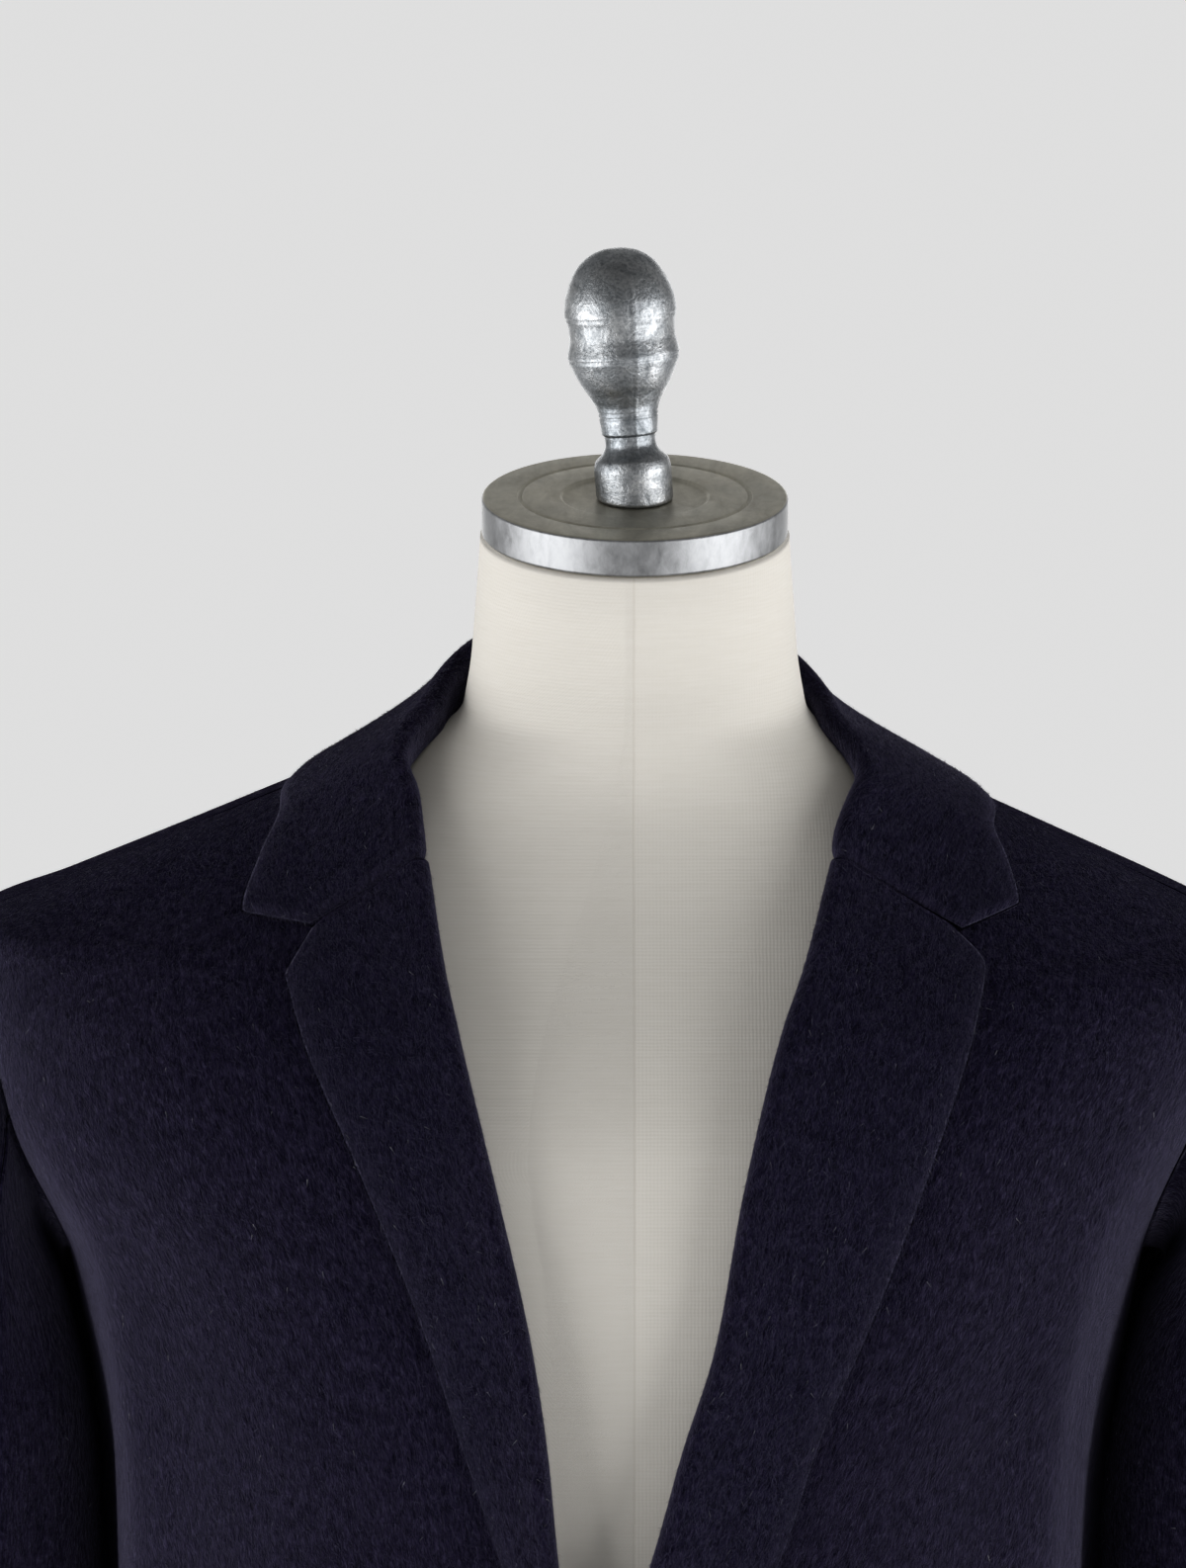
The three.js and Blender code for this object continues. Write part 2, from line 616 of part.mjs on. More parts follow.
function collarHalf(side, edge, places) {
  const gorge = { x: edge[0].point.x, z: edge[0].point.z };
  const line = gorgeLine(gorge, NOTCH[side], COLLAR_TIP[side], COLLAR_POINT_SHARES);
  const lineLength = line.slice(1).map(({ x, z }, i) => Math.hypot(x - line[i].x, z - line[i].z));
  const whole = lineLength.reduce((a, b) => a + b);
  const shares = [0];
  for (const length of lineLength) shares.push(shares.at(-1) + length / whole);
  const topPlaces = line.map(({ x, z }) => ({ phi: phiAt(side, side * x, z), z }));
  return edge.map((station, i) => {
    const { share } = places[i];
    const edgePlace = { phi: degToRad(collarPhi[side](share)), z: collarZ[side](share) };
    const outer = share === 0 ? topPlaces.at(-1) : edgePlace;
    const atGorge = Math.max(0, 1 - share / 0.6) ** 2;
    const base = shares.map((part, n) => {
      const place = mix(places[i], outer, part);
      const straight = mix(topPlaces[0], topPlaces.at(-1), part);
      place.phi += atGorge * (topPlaces[n].phi - straight.phi);
      place.z += atGorge * (topPlaces[n].z - straight.z);
      return n === 0 ? station : frame(side, place.phi, place.z);
    });
    const rises = smoothstep(share, 0, 0.9);
    const inwards = at(-station.point.x, -station.point.y, 0).normalize();
    const upright = at(0, 0, 1).addScaledVector(inwards, STAND_LEAN);
    const along = station.off.clone().cross(station.normal);
    if (i > 0 && share < 2) along.copy(towards(edge[i - 1].point, edge[i + 1].point));
    if (share === 2) along.set(side, 0, 0);
    const up = clearOf(station.off.clone().lerp(upright, rises), along);
    const out = along.clone().cross(up).normalize();
    if (out.dot(station.normal) < 0) out.negate();
    const fall = base[0].point.distanceTo(base.at(-1).point);
    return foldedLine({
      edge: station,
      up,
      out,
      stand: collarStand[side](share),
      radius: FOLD_RADIUS,
      base,
      reach: lerp(ROLL_REACH, fall, rises),
      settle: lerp(2, 1.1, rises),
    });
  });
}

// Neck edge of one side from the gorge to the nape, with a station between each two.
function neckStations(side, frontEdge, back, frontGrid, backGrid) {
  const first = LOW_ROWS + EDGE_ROWS;
  const neckRow = back[ROWS].slice(0, NECK_COLUMNS + 1).reverse();
  const below = back[ROWS - 1].slice(0, NECK_COLUMNS + 1).reverse();
  const backEdge = edgeStations(neckRow, below);
  backEdge.at(-1).off.x = 0;
  backEdge.at(-1).off.normalize();
  const joint = between(frontEdge.at(-1), backEdge[0], 0.5);
  const corners = [...frontEdge.slice(0, -1), joint, ...backEdge.slice(1)];
  const frontPlacesAt = column(frontGrid, 0).slice(first);
  const backPlacesAt = backGrid[ROWS].slice(0, NECK_COLUMNS).reverse();
  const places = [...frontPlacesAt, ...backPlacesAt].map((place, i) => ({
    ...place,
    share: i <= NECK_ROWS ? i / NECK_ROWS : 1 + (i - NECK_ROWS) / NECK_COLUMNS,
  }));
  const edge = [corners[0]];
  const atPlaces = [places[0]];
  for (let i = 1; i < corners.length; i++) {
    edge.push(between(corners[i - 1], corners[i], 0.5), corners[i]);
    const half = mix(places[i - 1], places[i], 0.5);
    half.share = (places[i - 1].share + places[i].share) / 2;
    atPlaces.push(half, places[i]);
  }
  return collarHalf(side, edge, atPlaces);
}

// Dress form: the coat's surface moved in, then a neck whose rings tip forward to the cap.
const FORM_BOTTOM_Z = 820;
const FORM_SIDE = 197; // the form has no arms and is flat there
const FORM_GAP = table(["z", "gap"], [
  [820, 20],
  [960, 24],
  [1080, 22],
  [1200, 11],
  [1320, 8],
  [1366, 12],
  [1382, 13],
  [1396, 8],
  [1409, 5.5],
  [1431, 3.5],
]);
const formGap = curve(FORM_GAP, "z", "gap");
const FORM_LEVELS = [820, 870, 920, 970, 1020, 1070, 1120, 1170, 1215, 1255, 1290, 1320, 1345, 1366,
  1382, 1396, 1409, 1421, 1431];
const FORM_TURNS = 14; // points from the centre front to the centre back, on each side
const NECK_RINGS = table(["z", "y", "radius", "tilt"], [
  [1440, 9.5, 67.5, 0],
  [1451, 8.5, 65.5, 0],
  [1466, 6.5, 63, 2],
  [1484, 3.2, 61.5, 4.5],
  [1500, -0.5, 60.2, 7.2],
  [1514.7, -2.5, 59.2, 9.4],
]);

function formTorso() {
  const ring = (level) => {
    const half = (side) =>
      Array.from({ length: FORM_TURNS + 1 }, (_, i) => {
        const phi = (Math.PI * i) / FORM_TURNS;
        const { point, normal } = frame(side, phi, level);
        point.addScaledVector(normal, -WALL - formGap(level));
        point.x = side * Math.min(Math.abs(point.x), FORM_SIDE);
        return point;
      });
    const left = half(LEFT);
    const right = half(RIGHT).reverse().slice(1, -1);
    const all = [...left, ...right];
    if (level === FORM_BOTTOM_Z) all.forEach((point) => (point.z = FORM_BOTTOM_Z));
    left[0].x = 0;
    left.at(-1).x = 0;
    return all;
  };
  const rings = FORM_LEVELS.map(ring);
  const count = 2 * FORM_TURNS;
  for (const { z, y, radius, tilt } of NECK_RINGS) {
    const lean = degToRad(tilt);
    rings.push(
      Array.from({ length: count }, (_, i) => {
        const turn = (2 * Math.PI * i) / count;
        const forward = radius * Math.cos(turn);
        const x = radius * Math.sin(turn);
        return at(x, y - forward * Math.cos(lean), z - forward * Math.sin(lean));
      }),
    );
  }
  return closedRings(rings);
}

// Closed solid through rings of the same count, with a middle point at each end.
function closedRings(rings) {
  const count = rings[0].length;
  const middle = (ring) => {
    const sum = at(0, 0, 0);
    ring.forEach((point) => sum.addScaledVector(point, 1 / count));
    return sum;
  };
  const points = [...rings.flat(), middle(rings[0]), middle(rings.at(-1))];
  const bottom = rings.length * count;
  const index = [];
  for (let r = 0; r < rings.length - 1; r++)
    for (let i = 0; i < count; i++) {
      const j = (i + 1) % count;
      const a = r * count;
      index.push(a + i, a + j, a + count + j, a + i, a + count + j, a + count + i);
    }
  for (let i = 0; i < count; i++) {
    const j = (i + 1) % count;
    const top = (rings.length - 1) * count;
    index.push(bottom, j, i, bottom + 1, top + i, top + j);
  }
  return geometry(points, index);
}

// Turned solid about +Z from rows of radius and height, low to high.
const TURNED_SIDES = 24;

function turned(profile) {
  const rings = profile.map(({ radius, height }) =>
    Array.from({ length: TURNED_SIDES }, (_, i) => {
      const turn = (2 * Math.PI * i) / TURNED_SIDES;
      return at(radius * Math.cos(turn), radius * Math.sin(turn), height);
    }),
  );
  return closedRings(rings);
}

// Neck cap: a thick disc with a turned groove and a shallow seat for the finial.
const CAP_TILT = degToRad(9.4);
const CAP_TOP = at(0, -5, 1530);
const SEAT_DEPTH = 1.2; // of the finial's seat
const CAP = table(["radius", "height"], [
  [57.4, -15],
  [58.6, -14],
  [58.6, -0.8],
  [57.8, 0],
  [45, 0],
  [44.5, -0.8],
  [43.5, -0.8],
  [43, 0],
  [28.5, 0],
  [27.5, -SEAT_DEPTH],
  [12, -SEAT_DEPTH],
]);

// Turned finial. It leans to the coat's right, and its foot follows the tipped seat of the cap.
const FINIAL_LEAN = degToRad(4.5);
const FOOT_HEIGHT = 10.9;
const FINIAL = table(["radius", "height"], [
  [14.2, 0],
  [14.7, 0.8],
  [14.7, FOOT_HEIGHT],
  [14, 14.5],
  [10.9, 17.8],
  [9.6, 21],
  [9.9, 24],
  [10.6, 24.7],
  [10.9, 27.5],
  [11.7, 34.4],
  [13.8, 38.9],
  [17, 44.3],
  [19.6, 49.8],
  [21.3, 54.8],
  [20.6, 58.8],
  [20.1, 62.4],
  [20.2, 66.1],
  [21.3, 70.6],
  [21, 75],
  [19.9, 79.6],
  [17, 86],
  [13.4, 90.7],
  [7.5, 94.2],
  [3, 95.2],
]);

function neckCap() {
  const made = turned(CAP);
  made.rotateX(CAP_TILT);
  made.translate(CAP_TOP.x, CAP_TOP.y, CAP_TOP.z);
  return made;
}

function finial() {
  const made = turned(FINIAL);
  const places = made.getAttribute("position");
  for (let i = 0; i < places.count; i++) {
    const height = places.getZ(i);
    const foot = 1 - clamp(height / FOOT_HEIGHT, 0, 1);
    const x = places.getX(i);
    const leaning = (1 - foot) * x * Math.tan(FINIAL_LEAN);
    places.setX(i, x - height * Math.tan(FINIAL_LEAN));
    places.setZ(i, height + leaning + foot * places.getY(i) * Math.tan(CAP_TILT));
  }
  return made.translate(0, CAP_TOP.y, CAP_TOP.z - SEAT_DEPTH + SEAM);
}

// Pole and base
const POLE_RADIUS = 17;
const BASE = table(["radius", "height"], [
  [206, 0],
  [210, 2],
  [210, 9],
  [206, 12],
  [48, 16],
  [32, 20],
  [28, 26],
  [28, 58],
  [26, 61],
  [20, 61.4],
]);
const POLE = table(["radius", "height"], [
  [POLE_RADIUS, BASE.at(-1).height + SEAM],
  [POLE_RADIUS, FORM_BOTTOM_Z - SEAM],
]);

// Buttons of the closed front, on the left front's outer surface at the centre line.
const BUTTON = { radius: 13, height: 3.4, bevel: 0.6, hole: 1.5, holeAt: 2.9, gap: 0.4 };
const HOLE_SIDES = 8;
const BUTTON_LEVELS = [1036, 918, 800];

function button(z) {
  const shape = new THREE.Shape().absarc(0, 0, BUTTON.radius - BUTTON.bevel, 0, 2 * Math.PI);
  for (const x of [-BUTTON.holeAt, BUTTON.holeAt])
    for (const y of [-BUTTON.holeAt, BUTTON.holeAt]) {
      const rim = new THREE.Path().absarc(x, y, BUTTON.hole + BUTTON.bevel, 0, 2 * Math.PI);
      shape.holes.push(new THREE.Path(rim.getPoints(HOLE_SIDES / 2)));
    }
  const made = new THREE.ExtrudeGeometry(shape, {
    depth: BUTTON.height,
    bevelThickness: BUTTON.bevel,
    bevelSize: BUTTON.bevel,
    bevelSegments: 1,
    curveSegments: 12,
  });
  const { point, normal } = surfaceAtX(LEFT, { x: 0, z });
  const turn = new THREE.Quaternion().setFromUnitVectors(at(0, 0, 1), normal);
  made.applyQuaternion(turn);
  point.addScaledVector(normal, BUTTON.gap + BUTTON.bevel);
  return made.translate(point.x, point.y, point.z);
}

// Sleeve halves: upper from the front seam over the shoulder to the back seam, under the rest.
function sleeveHalves(rings, seam) {
  const inner = rings.map((ring, k) => {
    const centre = at(0, 0, 0);
    ring.slice(0, LOOP).forEach((point) => centre.addScaledVector(point, 1 / LOOP));
    return ring.map((point, j) => {
      if (k === 0) return point.clone().add(seam[j].mitre);
      const round = towards(ring[(j - 1 + LOOP) % LOOP], ring[(j + 1) % LOOP]);
      const along = tangent(column(rings, j), k);
      const normal = round.cross(along).normalize();
      if (normal.dot(point.clone().sub(centre)) < 0) normal.negate();
      return point.clone().addScaledVector(normal, -WALL);
    });
  });
  const cut = (from) => {
    const faces = [rings, inner].map((grid) =>
      grid.map((ring, k) =>
        Array.from({ length: ARM_ROWS + 1 }, (_, i) => {
          const j = (from + i) % LOOP;
          const point = ring[j].clone();
          return k === 0 ? point.addScaledVector(seam[j].away, SEAM / 2) : point;
        }),
      ),
    );
    for (const grid of faces) {
      drawIn(column(grid, 0), column(grid, 1));
      drawIn(column(grid, -1), column(grid, -2));
    }
    return solidBetween(...faces);
  };
  return { upper: cut(ARM_ROWS / 2), under: cut(LOOP - ARM_ROWS / 2) };
}

// Materials
const material = (color, roughness, metalness = 0) =>
  new THREE.MeshStandardMaterial({ color, roughness, metalness });
const wool = material(0x1b1a2b, 0.95);
const buttonHorn = material(0x17161c, 0.35);
const linen = material(0xe3dfd6, 0.9);
const castMetal = material(0x9a9c9b, 0.35, 1);
const standMetal = material(0x8d8f90, 0.4, 1);

const overcoat = new THREE.Group();
function add(name, solid, finish) {
  const mesh = new THREE.Mesh(solid, finish);
  mesh.name = name;
  overcoat.add(mesh);
}

const collarLines = [];
for (const [side, word] of [[RIGHT, "right"], [LEFT, "left"]]) {
  const rings = sleeveRings(side);
  const seam = armholeSeam(side, rings);
  const frontGrid = frontPlaces(side);
  const backGrid = backPlaces(side);
  const front = bodyPanel(side, frontGrid, false, seam);
  const back = bodyPanel(side, backGrid, true, seam);
  add("front_" + word, front.solid, wool);
  add("back_" + word, back.solid, wool);
  const beside = column(front.frames, 1).slice(LOW_ROWS);
  const edge = edgeStations(column(front.frames, 0).slice(LOW_ROWS), beside);
  add("lapel_" + word, lapel(side, edge.slice(0, EDGE_ROWS + 1)), wool);
  const halves = sleeveHalves(rings, seam);
  add("sleeve_upper_" + word, halves.upper, wool);
  add("sleeve_under_" + word, halves.under, wool);
  const half = neckStations(side, edge.slice(EDGE_ROWS), back.frames, frontGrid, backGrid);
  collarLines.push(side === RIGHT ? half : half.slice(0, -1).reverse());
}
const collarFaces = wallAbout(collarLines.flat());
for (const grid of collarFaces) {
  drawIn(grid[0], grid[1]);
  drawIn(grid.at(-1), grid.at(-2));
}
add("collar", solidBetween(...collarFaces), wool);
BUTTON_LEVELS.forEach((z, i) => add("button_" + (i + 1), button(z), buttonHorn));
add("form_torso", formTorso(), linen);
add("form_neck_cap", neckCap(), castMetal);
add("form_finial", finial(), castMetal);
add("stand_pole", turned(POLE), standMetal);
add("stand_base", turned(BASE), standMetal);

export default overcoat;
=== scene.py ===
"""Looks of the wool overcoat on its dress form: fine cloth, sewing, metal, light and camera."""
import math

import bpy
import numpy as np
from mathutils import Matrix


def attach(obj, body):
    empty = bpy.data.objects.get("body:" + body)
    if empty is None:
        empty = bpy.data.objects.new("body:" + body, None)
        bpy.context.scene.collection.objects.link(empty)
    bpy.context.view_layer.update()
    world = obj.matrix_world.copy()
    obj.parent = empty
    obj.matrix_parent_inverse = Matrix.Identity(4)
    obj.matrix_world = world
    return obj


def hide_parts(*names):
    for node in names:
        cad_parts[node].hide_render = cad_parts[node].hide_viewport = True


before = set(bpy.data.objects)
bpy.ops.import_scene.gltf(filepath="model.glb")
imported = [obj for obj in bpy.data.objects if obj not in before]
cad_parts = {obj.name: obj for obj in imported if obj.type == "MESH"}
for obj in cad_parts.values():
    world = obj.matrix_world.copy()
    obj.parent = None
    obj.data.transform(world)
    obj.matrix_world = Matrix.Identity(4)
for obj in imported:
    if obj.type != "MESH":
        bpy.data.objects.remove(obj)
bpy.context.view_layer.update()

# Shapes are worked out in millimetres and made in metres. The sizes are those of the solids.
MM = 0.001
RIGHT, LEFT = -1, 1
WORD = {RIGHT: "right", LEFT: "left"}
WALL = 2.5
DOUBLE = 3.0
LIE = 1.0
HEM_Z, BREAK_Z, GORGE_Z = 430.0, 1070.0, 1398.0
NECK_POINT_Z, NAPE_Z, UNDERARM_Z = 1439.0, 1449.0, 1240.0
TIP_Z = {RIGHT: 1364.0, LEFT: 1356.0}
OVERLAP = 22.0
LOW_ROWS, EDGE_ROWS, NECK_ROWS, SIDE_ROWS, ARM_ROWS = 10, 8, 4, 12, 10
ROWS = SIDE_ROWS + ARM_ROWS
FRONT_COLUMNS, NECK_COLUMNS = 10, 4
LOOP = 2 * ARM_ROWS


def table(columns, rows):
    """Columns of a table by name."""
    values = np.array(rows, float)
    return {name: values[:, i] for i, name in enumerate(columns.split())}


def curve(x, y):
    """Smooth curve through the points, without overshoot between them."""
    x, y = np.asarray(x, float), np.asarray(y, float)
    step = np.diff(x)
    rise = np.diff(y) / step
    slope = np.zeros_like(y)
    slope[0], slope[-1] = rise[0], rise[-1]
    for i in range(1, len(x) - 1):
        if rise[i - 1] * rise[i] > 0:
            before, after = 2 * step[i] + step[i - 1], step[i] + 2 * step[i - 1]
            slope[i] = (before + after) / (before / rise[i - 1] + after / rise[i])

    def value(at):
        at = np.clip(at, x[0], x[-1])
        i = np.clip(np.searchsorted(x, at, side="right") - 1, 0, len(x) - 2)
        t = (at - x[i]) / step[i]
        near = (1 + 2 * t) * (1 - t) ** 2 * y[i] + t * (1 - t) ** 2 * step[i] * slope[i]
        far = t * t * (3 - 2 * t) * y[i + 1] - t * t * (1 - t) * step[i] * slope[i + 1]
        return near + far

    return value


def curves(values, by):
    """A curve for each column of a table, against the column or the list given."""
    return {name: curve(by, column) for name, column in values.items()}


def smooth(at, low, high):
    """0 below low, 1 above high, and a smooth step between."""
    t = np.clip((at - low) / (high - low), 0, 1)
    return t * t * (3 - 2 * t)


def signed_power(value, exponent):
    return np.sign(value) * np.abs(value) ** exponent


def unit(v):
    return v / np.maximum(np.linalg.norm(v, axis=-1, keepdims=True), 1e-12)


def dot(a, b):
    return np.sum(a * b, axis=-1, keepdims=True)


def clear_of(v, *units):
    """Unit vectors of v with their parts along the given unit vectors taken out."""
    for u in units:
        v = v - dot(v, u) * u
    return unit(v)


def tangents(points, axis):
    """Unit tangents of a grid of points along one axis."""
    points = np.moveaxis(points, axis, 0)
    steps = unit(np.diff(points, axis=0))
    way = np.zeros_like(points)
    way[:-1] += steps
    way[1:] += steps
    return np.moveaxis(unit(way), 0, axis)


# The coat's surface
BODY = table("z right left front back power", [
    [430, 236, 234, 170, 170, 2.15],
    [620, 230, 228, 165, 164, 2.15],
    [820, 224, 220, 160, 157, 2.2],
    [960, 217, 203, 156, 149, 2.3],
    [1080, 209, 188, 155, 143, 2.5],
    [1160, 209, 187, 155, 146, 2.7],
    [1240, 218, 196, 150, 150, 2.9],
    [1300, 246, 222, 140, 149, 3],
    [1340, 255, 246, 124, 140, 2.9],
    [1356, 257, 252, 113, 133, 2.7],
    [1364, 258, 233, 107, 129, 2.6],
    [1377, 229.5, 206.5, 97, 121, 2.45],
    [1400, 174.5, 158.5, 79, 106, 2.3],
    [1421, 123.5, 114, 64, 94.8, 2.2],
    [1442, 73.6, 72, 57, 83, 2.2],
    [1458, 68, 68, 55, 76, 2.1],
])
body = curves(BODY, BODY["z"])
half_width = {RIGHT: body["right"], LEFT: body["left"]}
front_depth, back_depth, power = body["front"], body["back"], body["power"]

# Ridges and hollows of the hanging cloth, by angle from the centre front
FOLDS = table("side angle lean top full height width", [
    [RIGHT, 55, 2, 1340, 1190, 5, 7],
    [RIGHT, 74, 4, 1260, 1120, -6, 7],
    [LEFT, 50, -3, 1340, 1180, 6, 7],
    [LEFT, 70, 0, 1280, 1120, -6, 8],
    [RIGHT, 33, 2, 960, 520, 5, 8],
    [LEFT, 30, 3, 900, 500, 4, 8],
    [RIGHT, 47, 2, 940, 520, -5, 7],
    [LEFT, 44, 3, 980, 540, -6, 7],
    [RIGHT, 100, -3, 1000, 520, 5, 8],
    [LEFT, 97, 0, 960, 500, 6, 8],
    [RIGHT, 121, 4, 1330, 1180, 5, 9],
    [LEFT, 124, 3, 1330, 1180, 4, 9],
    [RIGHT, 140, 4, 1100, 560, -6, 8],
    [LEFT, 143, 3, 1060, 540, -5, 8],
    [RIGHT, 160, 3, 980, 500, 6, 8],
    [LEFT, 163, 2, 1020, 520, 5, 7],
])


def fold_height(side, phi, z):
    angle = np.degrees(phi)
    height = np.zeros(np.broadcast(angle, z).shape)
    for row in zip(*FOLDS.values()):
        fold_side, middle, lean, top, full, tall, wide = row
        if fold_side == side:
            grown = smooth(top - z, 0, top - full)
            height = height + tall * grown * np.exp(-(((angle - middle - lean * grown) / wide) ** 2))
    return height


def body_point(side, phi, z):
    sine, cosine = np.sin(phi), np.cos(phi)
    depth = np.where(cosine > 0, front_depth(z), back_depth(z))
    across = half_width[side](z) * signed_power(sine, 2 / power(z))
    along = -depth * signed_power(cosine, 2 / power(z))
    swell = 1 + fold_height(side, phi, z) / np.hypot(across, along)
    return np.stack([side * across * swell, along * swell, z + 0 * phi], axis=-1)


def phi_at(side, across, z):
    share = np.clip(across / half_width[side](z), -1, 1)
    return np.arcsin(signed_power(share, power(z) / 2))


def surface(side, phi, z):
    """Points and outward normals. The right front is set back where the left front laps over it."""
    phi, z = np.broadcast_arrays(np.asarray(phi, float), np.asarray(z, float))
    turn, lift = 1e-3, 0.5
    point = body_point(side, phi, z)
    round_ = body_point(side, phi + turn, z) - body_point(side, phi - turn, z)
    up = body_point(side, phi, z + lift) - body_point(side, phi, z - lift)
    normal = unit(np.cross(round_, up))
    flip = normal[..., 0] * point[..., 0] + normal[..., 1] * point[..., 1] < 0
    normal = np.where(flip[..., None], -normal, normal)
    if side == RIGHT:
        inside = smooth(point[..., 0], -48, -26) * (1 - smooth(z, 1095, 1180)) * (np.cos(phi) > 0)
        point = point - 3.8 * inside[..., None] * normal
    return point, normal


ARMHOLE_REACH = math.radians(20)


def armhole_place(side, step):
    turn = math.pi * step / ARM_ROWS
    reach = ARMHOLE_REACH * signed_power(np.sin(turn), 0.8)
    return math.pi / 2 - reach, UNDERARM_Z + (TIP_Z[side] - UNDERARM_Z) * (1 - np.cos(turn)) / 2


# Roll lines and lapel edges
ROLL = table("z right left", [
    [1068, -20, -22],
    [1110, -24.5, -8.5],
    [1151, -29.5, 5.8],
    [1194.5, -33.6, 17.8],
    [1231, -39, 29.3],
    [1289, -52, 40.1],
    [1341, -65.5, 53.5],
    [1364, -71.5, 62.7],
    [1398, -78, 73.5],
])
roll_at = curves(ROLL, ROLL["z"])
roll = {RIGHT: roll_at["right"], LEFT: roll_at["left"]}
FOLD_RADIUS = 3.5


def fold_radius(z):
    return 1.9 + (FOLD_RADIUS - 1.9) * smooth(z, BREAK_Z, BREAK_Z + 120)


def set_back(z):
    return (fold_radius(z) + DOUBLE / 2) * smooth(z, BREAK_Z - 10, BREAK_Z + 60)


NECK_EDGE = {
    RIGHT: table("x z", [[-85.5, 1408], [-88, 1419], [-88.5, 1430]]),
    LEFT: table("x z", [[80, 1407], [84, 1417], [86, 1428]]),
}


def front_edge(side, row):
    """Angle and level of the front's own edge at each row."""
    gorge_row = LOW_ROWS + EDGE_ROWS
    z = np.interp(row, [0, LOW_ROWS, gorge_row], [HEM_Z, BREAK_Z, GORGE_Z])
    x = np.where(row <= LOW_ROWS, -side * OVERLAP, roll[side](z) + side * set_back(z))
    if side == RIGHT:
        crossing = smooth(row, LOW_ROWS - 1, LOW_ROWS)
        x = np.where(row <= LOW_ROWS, OVERLAP + (roll[RIGHT](BREAK_Z) - OVERLAP) * crossing, x)
    phi = phi_at(side, side * x, z)
    knots = np.arange(gorge_row, ROWS + 1)
    neck = NECK_EDGE[side]
    gorge_x = roll[side](GORGE_Z) + side * set_back(GORGE_Z)
    gorge_phi = phi_at(side, side * gorge_x, GORGE_Z)
    neck_phi = [gorge_phi, *phi_at(side, side * neck["x"], neck["z"]), math.pi / 2]
    neck_z = [GORGE_Z, *neck["z"], NECK_POINT_Z]
    upper = row > gorge_row
    phi = np.where(upper, curve(knots, neck_phi)(row), phi)
    return phi, np.where(upper, curve(knots, neck_z)(row), z)


def side_edge(side, row, back):
    step = np.maximum(row - SIDE_ROWS, 0)
    phi, z = armhole_place(side, LOOP - step if back else step)
    low = row <= SIDE_ROWS
    seam_z = HEM_Z + (UNDERARM_Z - HEM_Z) * np.minimum(row / SIDE_ROWS, 1)
    return np.where(low, math.pi / 2, phi), np.where(low, seam_z, z)


def between(first, last, shares):
    """A grid that goes from one column of values to another by shares."""
    return first[:, None] * (1 - shares) + last[:, None] * shares


def front_places(side, rows, shares):
    phi0, z0 = front_edge(side, rows)
    phi1, z1 = side_edge(side, rows, False)
    return between(phi0, phi1, shares), between(z0, z1, shares)


def back_places(side, rows, shares):
    phi1, z1 = side_edge(side, rows, True)
    z0 = HEM_Z + (NAPE_Z - HEM_Z) * rows / ROWS
    corner = NECK_COLUMNS / (NECK_COLUMNS + FRONT_COLUMNS)
    stops = [0, corner, 1]
    top_phi = np.interp(shares, stops, [math.pi, math.pi / 2, math.pi / 2])
    top_z = np.interp(shares, stops, [NAPE_Z, NECK_POINT_Z, TIP_Z[side]])
    near = np.clip((rows - SIDE_ROWS) / ARM_ROWS, 0, 1)[:, None] ** 2
    phi, z = between(math.pi + 0 * phi1, phi1, shares), between(z0, z1, shares)
    phi = phi + near * (top_phi - (math.pi * (1 - shares) + math.pi / 2 * shares))[None, :]
    z = z + near * (top_z - (NAPE_Z * (1 - shares) + TIP_Z[side] * shares))[None, :]
    return phi, z


# Meshes
def arc_lengths(points, axis):
    steps = np.linalg.norm(np.diff(points, axis=axis), axis=-1)
    return np.insert(np.cumsum(steps, axis=axis), 0, 0, axis=axis)


def make_mesh(name, points, faces, uvs=None, values=None, smooth_faces=True):
    """Object from points in millimetres. uvs are metres of cloth and values are point attributes."""
    mesh = bpy.data.meshes.new(name)
    mesh.from_pydata((np.asarray(points) * MM).tolist(), [], faces)
    if uvs is not None:
        layer = mesh.uv_layers.new(name="cloth")
        corner = np.empty(len(mesh.loops), np.int32)
        mesh.loops.foreach_get("vertex_index", corner)
        layer.data.foreach_set("uv", (np.asarray(uvs) * MM)[corner].ravel())
    for key, value in (values or {}).items():
        attribute = mesh.attributes.new(key, "FLOAT", "POINT")
        attribute.data.foreach_set("value", np.asarray(value, np.float32))
    mesh.polygons.foreach_set("use_smooth", [smooth_faces] * len(mesh.polygons))
    mesh.update()
    made = bpy.data.objects.new(name, mesh)
    bpy.context.scene.collection.objects.link(made)
    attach(made, "root")
    return made


def band(ring, after):
    """Faces between two rings of points."""
    return np.stack([ring, after, np.roll(after, -1), np.roll(ring, -1)], -1)


# Rim of a cloth piece: how far its edge stands out, how square it is, and whether it is free.
FREE = {"reach": 2.2, "square": 1.0, "free": True}
SEWN = {"reach": 1.1, "square": 0.35, "free": False}
RIM_STEPS = 6
PRESSED = 6.0  # width of the pressed band along a thick piece's free edge
# The material paints the wool darker on the rims, where edge is below zero.
ON_RIM = 2.0  # the attribute edge is minus this on the rims


